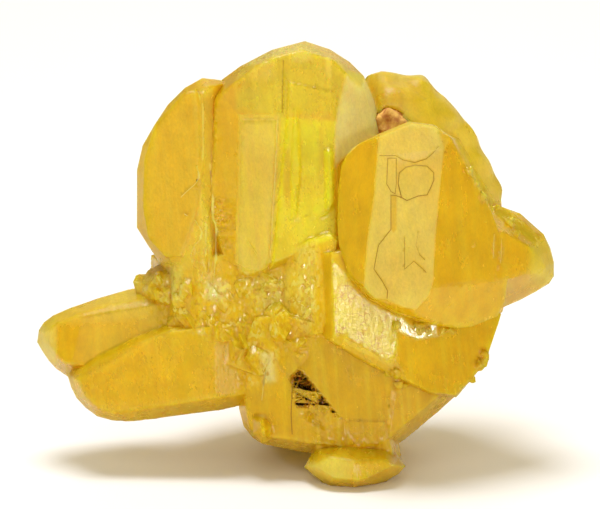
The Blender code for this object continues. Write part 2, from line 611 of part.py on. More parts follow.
def joined_mesh(grown, cutters):
    """One solid of all the grown bodies, less the cutters, without the hollows sealed inside it."""
    base = grown.objects[0]
    grown.objects.unlink(base)
    bpy.context.scene.collection.objects.link(base)
    for operation, collection in (("UNION", grown), ("DIFFERENCE", cutters)):
        modifier = base.modifiers.new(operation.lower(), "BOOLEAN")
        modifier.operation = operation
        modifier.operand_type = "COLLECTION"
        modifier.collection = collection
    depsgraph = bpy.context.evaluated_depsgraph_get()
    mesh = bpy.data.meshes.new_from_object(base.evaluated_get(depsgraph))
    base.modifiers.clear()
    bpy.context.scene.collection.objects.unlink(base)
    grown.objects.link(base)
    bm = bmesh.new()
    bm.from_mesh(mesh)
    bmesh.ops.dissolve_limit(bm, angle_limit=math.radians(FLAT_ANGLE), verts=bm.verts[:], edges=bm.edges[:])
    bmesh.ops.triangulate(bm, faces=bm.faces[:])
    keep_outer_shell(bm)
    bmesh.ops.recalc_face_normals(bm, faces=bm.faces[:])
    bm.to_mesh(mesh)
    bm.free()
    return mesh


def keep_outer_shell(bm):
    """Deletes every body of faces but the one that reaches furthest."""
    left, shells = set(bm.faces), []
    while left:
        shell, edge_faces = set(), [left.pop()]
        while edge_faces:
            face = edge_faces.pop()
            shell.add(face)
            for edge in face.edges:
                for beside in edge.link_faces:
                    if beside in left:
                        left.remove(beside)
                        edge_faces.append(beside)
        shells.append(shell)
    shells.sort(key=lambda shell: sum(face.calc_area() for face in shell))
    inner = [face for shell in shells[:-1] for face in shell]
    bmesh.ops.delete(bm, geom=inner, context="FACES")


def stand_on_origin(objects, stood):
    """Leans the cluster back, in metres, and puts the bottom centre of stood on the origin."""
    lean = Matrix.Rotation(math.radians(-LEAN_BACK), 4, "X")
    for mesh in {obj.data for obj in objects}:
        mesh.transform(Matrix.Scale(METRES_PER_MM, 4) @ lean)
    corners = [vertex.co for obj in stood for vertex in obj.data.vertices]
    low = Vector(min(corner[axis] for corner in corners) for axis in range(3))
    high = Vector(max(corner[axis] for corner in corners) for axis in range(3))
    foot = Vector(((low.x + high.x) / 2.0, (low.y + high.y) / 2.0, low.z))
    for mesh in {obj.data for obj in objects}:
        mesh.transform(Matrix.Translation(-foot))


def main():
    """Builds the specimen and stands it on the origin."""
    clear_scene()
    specimen = new_collection("sulfur_specimen")
    grown = new_collection("crystals_to_join")
    cutters = new_collection("cutters")
    crystal_helpers(grown)
    helper("floor_block", floor_mesh(), cutters)
    helper("clay_socket", clay_mesh("clay_socket", SOCKET_GAP), cutters)

    sulfur = bpy.data.objects.new("sulfur_crystals", joined_mesh(grown, cutters))
    sulfur.data.materials.append(plain_material("sulfur", SULFUR_COLOUR, SULFUR_ROUGHNESS))
    clay = bpy.data.objects.new("clay_matrix", clay_mesh("clay_matrix", 0.0))
    clay.data.materials.append(plain_material("clay", CLAY_COLOUR, CLAY_ROUGHNESS))
    for obj in (sulfur, clay):
        specimen.objects.link(obj)
    stand_on_origin([*specimen.objects, *grown.objects, *cutters.objects], specimen.objects)


if __name__ == "__main__":
    main()
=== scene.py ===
"""The looks of a native sulfur specimen: intergrown golden crystals with a remnant of clay in a crevice.

Lengths on the specimen are millimetres on its front plane: x runs to the right, y into the specimen and z up
the plane, from the point where the main crystals meet. The plane leans back from the upright.
"""

from __future__ import annotations

import json
import logging
import math
from dataclasses import dataclass
from enum import Enum

import bmesh
import bpy
import numpy as np
from mathutils import Euler, Matrix, Vector, noise
from mathutils.bvhtree import BVHTree

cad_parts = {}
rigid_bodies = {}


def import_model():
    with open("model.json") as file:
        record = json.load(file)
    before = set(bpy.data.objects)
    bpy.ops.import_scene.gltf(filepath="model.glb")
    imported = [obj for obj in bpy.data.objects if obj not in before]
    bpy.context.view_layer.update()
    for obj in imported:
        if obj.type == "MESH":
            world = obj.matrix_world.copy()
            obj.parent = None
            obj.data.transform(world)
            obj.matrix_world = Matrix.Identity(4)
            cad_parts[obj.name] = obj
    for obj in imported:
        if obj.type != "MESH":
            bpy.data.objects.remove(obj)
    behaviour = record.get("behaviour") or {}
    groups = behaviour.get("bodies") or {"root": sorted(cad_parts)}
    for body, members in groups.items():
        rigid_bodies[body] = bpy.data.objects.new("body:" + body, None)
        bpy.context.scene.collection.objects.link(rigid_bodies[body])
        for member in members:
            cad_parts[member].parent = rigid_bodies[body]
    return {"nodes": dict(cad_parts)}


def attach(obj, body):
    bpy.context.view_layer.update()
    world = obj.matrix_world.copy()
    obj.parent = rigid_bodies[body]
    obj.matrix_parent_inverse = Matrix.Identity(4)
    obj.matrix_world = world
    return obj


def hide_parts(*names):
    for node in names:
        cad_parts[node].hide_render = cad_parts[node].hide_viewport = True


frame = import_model()

LOG = logging.getLogger("sulfur_specimen")
MM = 0.001
Colour = tuple[float, float, float]
Point2 = tuple[float, float]


@dataclass(frozen=True)
class FrontPlane:
    """The leaning plane that the specimen is laid out on."""

    lean_degrees: float = 14.0
    grain_degrees: float = 5.5
    meeting_point: tuple[float, float, float] = (2.25, 0.141, 18.9)

    def lean(self) -> Matrix:
        """The turn from the plane's axes to the model's."""
        return Matrix.Rotation(math.radians(-self.lean_degrees), 3, "X")

    def to_model(self, point: tuple[float, float, float]) -> Vector:
        """A point on the plane, in millimetres, as a point of the model in metres."""
        return (Vector(self.meeting_point) + self.lean() @ Vector(point)) * MM

    def from_model(self, points: np.ndarray) -> np.ndarray:
        """Points of the model in metres, as points on the plane in millimetres."""
        turn = np.array(self.lean())
        return (points / MM - np.array(self.meeting_point)) @ turn

    def turned(self, directions: np.ndarray) -> np.ndarray:
        """Directions of the model, along the plane's own axes."""
        return directions @ np.array(self.lean())

    def grain(self) -> Euler:
        """The turn from the axes of the crystals' grain to the model's."""
        return Euler((math.radians(-self.lean_degrees), math.radians(-self.grain_degrees), 0.0))

    def facing(self, right_degrees: float, up_degrees: float) -> np.ndarray:
        """The model's direction that faces the viewer, turned right and up."""
        right, up = math.radians(right_degrees), math.radians(up_degrees)
        outward = Vector((math.sin(right) * math.cos(up), -math.cos(right) * math.cos(up), math.sin(up)))
        return np.array(self.lean() @ outward)


PLANE = FrontPlane()


def smooth(values: np.ndarray) -> np.ndarray:
    """Eases values clipped between 0 and 1."""
    clipped = np.clip(values, 0.0, 1.0)
    return clipped * clipped * (3.0 - 2.0 * clipped)


def noise_at(points: np.ndarray, stretch: tuple[float, float, float], seed: float) -> np.ndarray:
    """Smooth noise at points.

    Args:
        points: the points, one a row, in millimetres.
        stretch: the size of the noise's lumps along x, y and z, in millimetres.
        seed: which noise it is.

    Returns:
        One value a point, mostly between -1 and 1.
    """
    scaled = points / np.array(stretch) + seed * 17.3
    return np.array([noise.noise(Vector(point)) for point in scaled])


def values_of(items: object, name: str, width: int, kind: type = np.float32) -> np.ndarray:
    """A value of every item of a mesh.

    Args:
        items: the mesh's vertices, edges, faces or corners.
        name: which value.
        width: how many numbers each value has.
        kind: their type in the mesh.

    Returns:
        One row an item, floats where the mesh has floats.
    """
    flat = np.empty(len(items) * width, kind)
    items.foreach_get(name, flat)
    rows = flat.reshape(-1, width)
    return rows.astype(float) if kind is np.float32 else rows


def offset(corners: tuple[Point2, ...], distance: float) -> list[Point2]:
    """An outline moved outwards by a distance, or inwards where that is negative."""
    turning = sum(x0 * z1 - x1 * z0 for (x0, z0), (x1, z1) in zip(corners, corners[1:] + corners[:1]))
    side = distance if turning > 0.0 else -distance
    moved = []
    for before, corner, after in zip(corners[-1:] + corners[:-1], corners, corners[1:] + corners[:1]):
        arriving = (Vector(corner) - Vector(before)).normalized()
        leaving = (Vector(after) - Vector(corner)).normalized()
        outward = Vector((arriving.y + leaving.y, -arriving.x - leaving.x)).normalized()
        stretch = max(0.5, outward.dot(Vector((arriving.y, -arriving.x))))
        moved.append(tuple(Vector(corner) + outward * side / stretch))
    return moved


@dataclass(frozen=True)
class Outline:
    """A closed outline on the front plane."""

    corners: tuple[Point2, ...]
    fade: float = 0.4

    def inside(self, points: np.ndarray) -> np.ndarray:
        """How far each point is inside, from 0 outside to 1 past the fade."""
        across, up = points[:, 0], points[:, 2]
        nearest = np.full(len(points), 1e9)
        crossings = np.zeros(len(points), dtype=bool)
        for (x0, z0), (x1, z1) in zip(self.corners, self.corners[1:] + self.corners[:1]):
            dx, dz = x1 - x0, z1 - z0
            share = np.clip(((across - x0) * dx + (up - z0) * dz) / (dx * dx + dz * dz), 0.0, 1.0)
            nearest = np.minimum(nearest, np.hypot(across - x0 - share * dx, up - z0 - share * dz))
            spans = (z0 > up) != (z1 > up)
            if dz:
                crossings ^= spans & (across < x0 + (up - z0) * dx / dz)
        signed = np.where(crossings, nearest, -nearest)
        return smooth(0.5 + signed / self.fade * 0.5)


class Finish(Enum):
    """How the surface of a patch of crystal looks, as an index into the masks."""

    MATTE = 0
    TERRACED = 1
    STREAKED = 2
    BROKEN = 3
    CRACKLED = 4
    PARALLEL = 5


class Line(Enum):
    """The material index of a face that ends a layer or marks a line."""

    NONE = 0
    # painted shade: a face marked so is painted dark as the shadow along a layer's wall or a dark line
    SHADE = 1
    LIGHT = 2


@dataclass(frozen=True)
class Patch:
    """A patch of the front with a colour and a finish of its own.

    Attributes:
        name: what the patch is.
        outline: where it is on the front plane.
        colour: its colour.
        strength: how much of that colour shows, from 0 to 1.
        finishes: how matte, terraced, streaked, broken or crackled it is, and how far its small
            facets lie parallel to the one cleavage.
        behind: the depth past which the patch doesn't reach.
        edge: the longest edge that the fine mesh keeps inside it, or 0 where the usual one does.
    """

    name: str
    outline: Outline
    colour: Colour
    strength: float
    finishes: tuple[tuple[Finish, float], ...] = ()
    behind: float = 6.0
    edge: float = 0.0


GOLD = (0.86, 0.575, 0.012)
DEEP_GOLD = (0.84, 0.525, 0.008)
PALE_GOLD = (0.94, 0.75, 0.11)
# frosted faces, painted paler also as the sheen of a matte face that catches the light
FROST_AND_SHEEN_GOLD = (0.96, 0.80, 0.17)
# painted sheen: a pale gold for faces that catch the light and for spots that stand in for glints
PAINTED_SHEEN_GOLD = (1.0, 0.90, 0.34)
LIME_GOLD = (0.93, 0.80, 0.020)
BRIGHT_LIME = (0.97, 0.90, 0.022)
OLIVE_GOLD = (0.80, 0.66, 0.030)
# painted shade: the base is painted a darker gold, to hold back the light that the floor throws up on it
SHADED_BASE_GOLD = (0.77, 0.48, 0.006)
STAINED_GOLD = (0.80, 0.40, 0.045)

# How far the cleavage that the small facets share is turned right and up from the front plane, in degrees
CLEAVAGE = (8.0, -3.0)

MATTE, TERRACED, STREAKED, BROKEN, CRACKLED, PARALLEL = Finish

PATCHES = (
    Patch("left_tablet_front",
          Outline(((-16.5, 7.0), (-16.1, 9.2), (-13.7, 13.1), (-10.6, 15.4), (-10.4, 9.0), (-10.6, 5.4), (-11.5, 2.2),
                   (-12.6, -1.1), (-13.9, -1.1), (-16.4, 1.9)), 0.5),
          GOLD, 0.9, ((TERRACED, 1.0), (MATTE, 0.6))),
    Patch("left_tablet_ledges",
          Outline(((-10.6, 5.4), (-9.7, 4.5), (-9.5, -3.1), (-10.3, -3.6), (-13.9, -1.4), (-12.6, -1.1), (-11.5, 2.2)),
                  0.4),
          PALE_GOLD, 0.4, ((TERRACED, 1.0), (STREAKED, 0.8))),
    Patch("ribbed_tablet_left",
          Outline(((-10.3, 14.9), (-8.8, 15.4), (-7.4, 16.3), (-7.2, 6.3), (-7.6, -1.3), (-8.8, -2.2), (-9.7, 4.5),
                   (-10.3, 9.0)), 0.25),
          DEEP_GOLD, 0.9, ((STREAKED, 0.25), (MATTE, 0.1), (TERRACED, 0.0))),
    Patch("ribbed_tablet_top",
          Outline(((-7.2, 16.5), (-4.3, 18.1), (-1.3, 18.9), (2.5, 16.3), (1.7, 11.7), (-3.6, 11.7), (-7.4, 12.8)), 0.5),
          OLIVE_GOLD, 0.9, ((STREAKED, 0.7), (TERRACED, 0.5), (MATTE, 0.3))),
    Patch("top_pale_left", Outline(((-6.3, 16.9), (-4.1, 17.4), (-4.1, 15.3), (-6.3, 15.3)), 0.4), PALE_GOLD, 0.7),
    Patch("top_pale_middle", Outline(((-2.7, 18.0), (-0.7, 18.2), (-0.7, 16.9), (-2.5, 16.9)), 0.3), FROST_AND_SHEEN_GOLD, 0.7),
    Patch("top_pale_right", Outline(((0.4, 17.4), (1.0, 17.2), (1.0, 15.5), (0.5, 15.5)), 0.2), FROST_AND_SHEEN_GOLD, 0.7),
    Patch("top_band", Outline(((-2.7, 12.3), (1.1, 12.3), (1.1, 11.3), (-2.7, 11.4)), 0.5), STAINED_GOLD, 0.3),
    Patch("ribbed_tablet_strip",
          Outline(((-7.2, 12.0), (-3.6, 12.0), (-3.9, 5.0), (-4.25, -0.9), (-5.0, -1.9), (-6.2, -2.2), (-7.2, -2.0),
                   (-7.5, -1.1)), 0.2),
          PALE_GOLD, 0.8, ((STREAKED, 0.8), (MATTE, 0.7))),
    Patch("ribbed_tablet_ribs",
          Outline(((-3.5, 11.9), (1.4, 11.5), (1.2, 7.6), (1.3, 1.1), (-1.8, -0.1), (-4.4, -1.3), (-4.25, 1.6),
                   (-3.9, 5.0)), 0.2),
          LIME_GOLD, 1.0, ((STREAKED, 0.8), (MATTE, 0.2))),
    Patch("rib_flat", Outline(((-1.8, 11.3), (-0.1, 11.3), (-0.2, 6.5), (-1.7, 6.5)), 0.3), BRIGHT_LIME, 0.8),
    Patch("rib_hook",
          Outline(((0.4, 9.0), (1.2, 9.0), (1.2, 4.9), (0.7, 3.9), (0.0, 3.2), (-0.8, 3.3), (-0.4, 4.1), (0.3, 5.0)), 0.2),
          BRIGHT_LIME, 1.0, ((MATTE, 0.2),)),
    Patch("rib_shade_left", Outline(((-3.2, 9.0), (-2.7, 9.0), (-2.7, 3.8), (-3.2, 3.8)), 0.2), GOLD, 0.6),
    Patch("rib_shade_right", Outline(((-0.1, 11.0), (0.3, 11.0), (0.3, 5.8), (-0.1, 5.8)), 0.2), GOLD, 0.5),
    Patch("ribbed_tablet_flank",
          Outline(((2.5, 16.1), (4.0, 15.7), (4.9, 13.5), (5.5, 10.7), (4.9, 9.9), (2.2, 8.4), (1.3, 7.4), (1.4, 11.2),
                   (1.8, 13.5)), 0.2),
          PAINTED_SHEEN_GOLD, 0.9, ((MATTE, 1.0), (TERRACED, 0.5))),
    Patch("prism_left",
          Outline(((5.3, 10.4), (5.1, 9.0), (4.7, 4.5), (4.1, 0.4), (3.8, -3.7), (2.5, -2.5), (1.6, 0.9), (1.3, 4.0),
                   (1.6, 7.6), (3.4, 9.4)), 0.12),
          DEEP_GOLD, 1.0, ((MATTE, 0.1), (TERRACED, 0.0), (STREAKED, 0.1))),
    Patch("prism_right",
          Outline(((10.9, 9.0), (12.2, 9.9), (13.5, 7.2), (17.6, 2.2), (20.9, -1.1), (19.5, -3.6), (16.7, -5.8),
                   (13.5, -7.2), (9.5, -4.1), (9.9, -2.7), (10.0, 0.9), (10.4, 5.0)), 0.2),
          DEEP_GOLD, 0.95, ((MATTE, 0.15), (TERRACED, 0.1), (STREAKED, 0.3))),
    Patch("prism_lip",
          Outline(((3.8, -3.7), (4.5, -4.2), (5.8, -4.3), (7.2, -5.0), (8.4, -5.2), (9.6, -4.2), (11.2, -6.5),
                   (10.3, -7.9), (8.4, -7.8), (6.6, -5.8), (4.7, -4.8)), 0.15),
          DEEP_GOLD, 1.0, ((MATTE, 0.2),)),
    Patch("prism_face",
          Outline(((5.3, 10.6), (6.5, 11.0), (7.8, 11.5), (9.4, 11.3), (10.2, 11.0), (10.9, 9.0), (10.4, 5.0),
                   (10.0, 0.9), (9.9, -2.7), (9.5, -4.0), (8.4, -5.2), (7.2, -5.0), (5.8, -4.3), (4.5, -4.2),
                   (3.8, -3.5), (4.1, 0.4), (4.7, 4.5), (5.1, 9.0)), 0.12),
          FROST_AND_SHEEN_GOLD, 0.8, ((MATTE, 1.0), (TERRACED, 0.3)), 6.0, 0.3),
    Patch("prism_face_top",
          Outline(((5.3, 10.6), (6.5, 11.0), (7.8, 11.5), (10.2, 11.0), (10.8, 9.1), (9.9, 8.2), (7.2, 7.6), (5.1, 8.5)),
                  0.3),
          PAINTED_SHEEN_GOLD, 0.6),
    Patch("prism_groove", Outline(((6.2, 4.8), (6.7, 4.8), (6.7, 1.8), (6.4, 1.5), (6.2, 1.8)), 0.1), DEEP_GOLD, 0.8,
          ((MATTE, 0.5),), 6.0, 0.2),
    Patch("tip_face",
          Outline(((18.7, 0.4), (20.3, 0.9), (21.2, -1.1), (20.6, -2.9), (19.3, -3.4), (18.5, -1.6)), 0.6),
          OLIVE_GOLD, 0.8, ((MATTE, 0.5),)),
    Patch("lower_band", Outline(((-0.1, -0.2), (1.0, -0.5), (1.2, -7.7), (0.0, -8.1)), 0.15), DEEP_GOLD, 1.0,
          ((MATTE, 0.0), (STREAKED, 0.3))),
    Patch("lower_right",
          Outline(((6.9, -6.1), (10.3, -8.1), (16.2, -6.5), (15.0, -8.9), (13.1, -11.9), (7.0, -10.4)), 0.4),
          DEEP_GOLD, 0.9, ((STREAKED, 0.4), (MATTE, 0.15))),
    Patch("lower_face",
          Outline(((1.0, -0.7), (1.6, -1.4), (2.4, -2.2), (2.9, -3.4), (4.0, -4.4), (5.2, -5.1), (6.6, -5.8),
                   (6.8, -8.5), (6.4, -10.1), (3.6, -8.4), (2.2, -7.6), (1.2, -7.7)), 0.15),
          LIME_GOLD, 1.0, ((MATTE, 0.3), (TERRACED, 0.4), (BROKEN, 0.3), (CRACKLED, 1.0), (PARALLEL, 0.8)),
          6.0, 0.26),
    # painted highlight: its pale colour paints part of the white highlight under the prism's lip; its small facets,
    # turned to the one cleavage, catch the glint light for the rest
    Patch("lower_highlight",
          Outline(((6.5, -5.8), (7.2, -5.9), (7.9, -6.6), (9.0, -6.9), (10.3, -6.4), (10.4, -7.7), (8.6, -8.0),
                   (7.0, -7.3)), 0.15),
          FROST_AND_SHEEN_GOLD, 1.0, ((MATTE, 0.0), (TERRACED, 0.0), (CRACKLED, 0.8), (PARALLEL, 1.0)), 6.0, 0.26),
    Patch("lower_edge", Outline(((2.2, -7.9), (2.4, -8.3), (6.7, -10.7), (6.8, -10.3)), 0.2), PALE_GOLD, 1.0,
          ((MATTE, 0.4),)),
    Patch("base",
          Outline(((-7.2, -12.8), (0.9, -8.1), (6.8, -10.4), (12.6, -12.2), (9.0, -16.0), (5.8, -18.2), (0.9, -18.4),
                   (-6.1, -16.8)), 0.8),
          SHADED_BASE_GOLD, 1.0, ((STREAKED, 0.6), (MATTE, 0.15))),
    Patch("broken_left",
          Outline(((-15.3, -1.1), (-10.3, -3.6), (-7.6, -1.6), (-6.7, -2.7), (-7.6, -7.2), (-9.4, -7.7), (-13.9, -7.2),
                   (-15.5, -4.5)), 0.8),
          GOLD, 0.5, ((BROKEN, 0.7), (MATTE, 0.1), (TERRACED, 0.0)), 6.0, 0.26),
    Patch("broken_middle",
          Outline(((-7.6, -1.6), (-5.2, -2.3), (-1.8, -0.7), (0.0, 0.2), (0.0, -8.1), (-2.7, -9.0), (-6.8, -12.8),
                   (-7.2, -9.0)), 0.6),
          GOLD, 0.7, ((BROKEN, 0.8), (MATTE, 0.0), (TERRACED, 0.0)), 6.0, 0.26),
    Patch("splinters",
          Outline(((-2.2, 0.2), (-0.3, 0.9), (-0.5, -4.0), (-0.9, -7.2), (-1.8, -7.0), (-2.1, -3.0)), 0.4),
          PALE_GOLD, 0.8, ((BROKEN, 1.0), (STREAKED, 1.0), (PARALLEL, 0.6)), 6.0, 0.26),
    # painted highlight: these pale patches, the star among them, stand in for glints on the broken parts, together
    # with the real glints of their tilted small facets
    Patch("left_glints", Outline(((-10.1, -2.8), (-8.4, -2.9), (-8.6, -4.6), (-10.0, -4.3)), 0.5),
          PAINTED_SHEEN_GOLD, 0.9, ((BROKEN, 1.0), (PARALLEL, 0.8)), 6.0, 0.26),
    Patch("notch_glints", Outline(((-13.8, -1.5), (-12.3, -1.7), (-12.2, -4.3), (-13.6, -4.5)), 0.5),
          PALE_GOLD, 0.9, ((BROKEN, 1.0), (PARALLEL, 0.6)), 6.0, 0.26),
    Patch("star", Outline(((-5.3, -8.8), (-4.2, -9.2), (-4.0, -11.6), (-5.0, -11.8)), 0.4),
          PAINTED_SHEEN_GOLD, 0.9, ((BROKEN, 1.0), (PARALLEL, 0.8)), 6.0, 0.26),
    Patch("middle_glints", Outline(((-5.6, -2.6), (-2.4, -1.4), (-2.4, -5.0), (-4.6, -5.6), (-6.2, -4.4)), 0.8),
          PALE_GOLD, 0.6, ((BROKEN, 1.0), (PARALLEL, 0.4)), 6.0, 0.26),
    Patch("blade_face",
          Outline(((-22.3, -12.1), (-17.8, -9.7), (-14.0, -7.3), (-9.2, -7.7), (-9.1, -14.2), (-17.1, -15.3),
                   (-20.9, -14.2)), 0.5),
          GOLD, 0.9, ((STREAKED, 0.3), (MATTE, 0.25))),
    Patch("blade_shoulder", Outline(((-9.1, -7.7), (-6.3, -9.2), (-6.5, -13.9), (-9.0, -14.4)), 0.3), DEEP_GOLD, 0.6),
    Patch("spear_tip", Outline(((-25.8, -8.3), (-24.9, -6.5), (-23.6, -5.9), (-23.6, -10.4), (-24.7, -9.9)), 0.3),
          FROST_AND_SHEEN_GOLD, 0.8, ((MATTE, 0.7),)),
    Patch("spear_front", Outline(((-23.6, -6.6), (-21.4, -6.6), (-21.2, -10.1), (-22.5, -11.0), (-23.6, -10.4)), 0.25),
          DEEP_GOLD, 0.8),
    Patch("spear_top", Outline(((-23.4, -5.7), (-20.1, -4.4), (-15.5, -2.5), (-15.2, -6.1), (-21.2, -6.7),
                                (-23.4, -6.5)), 0.5),
          PALE_GOLD, 0.6, ((MATTE, 0.5),)),
    Patch("back_plate",
          Outline(((4.0, 16.8), (10.0, 16.2), (14.5, 10.0), (17.8, 3.0), (15.0, 5.0), (12.2, 10.2), (8.0, 11.8),
                   (5.6, 13.4)), 0.5),
          PALE_GOLD, 0.8, ((MATTE, 0.5),), 14.0),
    Patch("prism_seam",
          Outline(((11.9, 10.1), (12.5, 10.0), (13.9, 7.3), (15.8, 4.2), (17.9, 2.6), (19.8, 0.9), (19.4, 0.4),
                   (17.3, 1.9), (15.1, 3.6), (13.2, 6.9)), 0.25),
          PALE_GOLD, 0.9, ((BROKEN, 0.7), (PARALLEL, 0.5)), 6.0, 0.3),
    # painted light: a paler colour in the crease between the two tablets lifts the shade that falls there
    Patch("tablet_crevice_painted_light", Outline(((-10.8, 14.6), (-9.6, 14.6), (-9.5, 0.0), (-10.5, 0.0)), 0.2), PALE_GOLD, 0.7),
    Patch("clay_stain", Outline(((5.0, 13.0), (5.2, 14.6), (6.8, 15.0), (8.0, 13.6), (7.8, 12.4), (5.8, 12.2)), 1.2),
          STAINED_GOLD, 0.35, (), 14.0),
    Patch("foot_face", Outline(((-1.1, -19.3), (-0.4, -18.5), (2.2, -17.8), (3.0, -18.6), (2.6, -20.6),
                                (-0.2, -20.3)), 0.3),
          PALE_GOLD, 0.8, ((MATTE, 0.6), (TERRACED, 0.4))),
)


@dataclass(frozen=True)
class Layer:
    """A thin growth layer that stands proud of the face under it.

    Attributes:
        name: what the layer is.
        corners: its outline on the front plane.
        height: how far it stands proud.
    """

    name: str
    corners: tuple[Point2, ...]
    height: float


LAYERS = (
    Layer("prism_middle", ((6.8, 5.8), (6.9, 6.8), (7.5, 7.3), (8.3, 7.5), (9.4, 7.4), (10.0, 6.8), (10.0, 6.1),
                           (9.7, 5.4), (9.4, 4.8), (8.6, 4.7), (8.1, 4.5), (7.6, 4.3), (7.1, 4.6)), 0.08),
    Layer("prism_pocket", ((5.9, 8.1), (6.7, 8.1), (6.7, 5.8), (6.6, 4.9), (6.2, 5.1), (5.8, 5.8)), 0.06),
)


@dataclass(frozen=True)
class Vein:
    """A fine growth line that stands out of a face.

    Attributes:
        name: what the line is.
        points: its run on the front plane.
        thickness: how thick it is.
        line: whether it looks lighter or darker than the face.
    """

    name: str
    points: tuple[Point2, ...]
    thickness: float = 0.10
    line: Line = Line.LIGHT


VEINS = (
    Vein("strip_edge", ((-3.8, 11.6), (-4.0, 7.0), (-4.2, 3.4), (-4.45, -0.6)), 0.12),
    Vein("left_tablet_step", ((-11.5, 14.2), (-10.8, 13.8), (-10.45, 12.4), (-10.5, 10.8), (-10.45, 9.0), (-10.5, 8.1),
                              (-11.0, 7.4), (-10.7, 6.5), (-11.2, 5.8), (-11.9, 5.2), (-12.4, 4.7)), 0.07),
    Vein("left_tablet_lower", ((-12.1, 3.2), (-11.1, 2.6), (-10.5, 1.6), (-10.7, 0.9), (-11.2, 0.4), (-11.5, -0.4),
                               (-11.4, -1.1)), 0.07),
    Vein("ledge_outer", ((-9.8, 7.7), (-9.6, 4.6), (-9.6, 2.7), (-9.3, 2.4), (-9.3, -0.6), (-9.5, -3.0)), 0.08),
    Vein("ledge_inner", ((-10.2, 2.4), (-10.2, -0.4), (-10.6, -2.8)), 0.08),
    Vein("strip_line", ((-7.2, 2.0), (-6.4, 0.7), (-5.6, -0.5)), 0.06),
    Vein("top_line", ((-3.3, 17.0), (-3.35, 14.4), (-3.4, 12.2)), 0.06, Line.SHADE),
    Vein("prism_top", ((5.2, 8.3), (6.6, 8.3), (7.3, 7.9), (8.3, 7.7), (9.3, 8.0), (9.9, 8.5), (10.4, 9.1)), 0.06,
         Line.SHADE),
    Vein("prism_lower", ((7.1, 4.6), (6.6, 4.8), (6.2, 4.8), (6.2, 1.8), (5.1, 0.4), (4.9, -0.6), (4.7, -1.7),
                         (5.4, -2.7), (5.9, -3.6), (5.85, -4.3)), 0.07, Line.SHADE),
    Vein("prism_corner", ((7.4, 1.1), (7.4, -1.7), (8.2, -1.0), (8.8, -1.5), (9.3, -2.0)), 0.05, Line.SHADE),
    Vein("prism_curl", ((8.6, 1.6), (8.4, 0.4), (8.7, -0.4), (9.2, -0.9)), 0.05, Line.SHADE),
    Vein("base_line", ((-2.5, -12.2), (-2.6, -14.6), (-2.5, -16.4)), 0.08, Line.SHADE),
    Vein("broken_line", ((-4.9, -10.8), (-5.1, -12.4), (-5.2, -13.4)), 0.10),
    Vein("prism_line_left", ((15.4, 1.4), (15.3, -0.6), (14.9, -3.6)), 0.06),
    Vein("prism_line_right", ((16.1, 1.6), (16.0, -0.8), (15.8, -2.9)), 0.06),
)


@dataclass(frozen=True)
class Softening:
    """A place where the lumps and creases are rounded.

    Attributes:
        outline: where it is on the front plane.
        ahead: the depth in front of which nothing is rounded.
        rounds: how many times it is rounded.
    """

    outline: Outline
    ahead: float
    rounds: int


SOFTENINGS = (
    Softening(Outline(((5.4, 12.6), (4.4, 15.4), (5.4, 17.4), (10.6, 17.2), (14.4, 12.6), (17.4, 8.4), (18.4, 4.6),
                       (15.8, 3.4), (13.6, 6.4), (11.6, 9.8), (8.8, 11.8)), 0.2), -0.6, 14),
    Softening(Outline(((-10.9, 15.4), (-9.7, 15.4), (-9.4, 8.0), (-9.2, -1.0), (-10.6, -1.0), (-10.9, 8.0)), 0.2),
              -20.0, 8),
)


def select_nothing() -> None:
    """Deselects every object."""
    for obj in bpy.context.view_layer.objects:
        obj.select_set(False)


def make_active(obj: bpy.types.Object) -> None:
    """Selects one object alone and makes it the active one."""
    select_nothing()
    obj.select_set(True)
    bpy.context.view_layer.objects.active = obj


def mark_slots(mesh: bpy.types.Mesh) -> None:
    """Gives a mesh one material slot for each kind of line, empty of looks."""
    mesh.materials.clear()
    for line in Line:
        name = "line_" + line.name.lower()
        mesh.materials.append(bpy.data.materials.get(name) or bpy.data.materials.new(name))


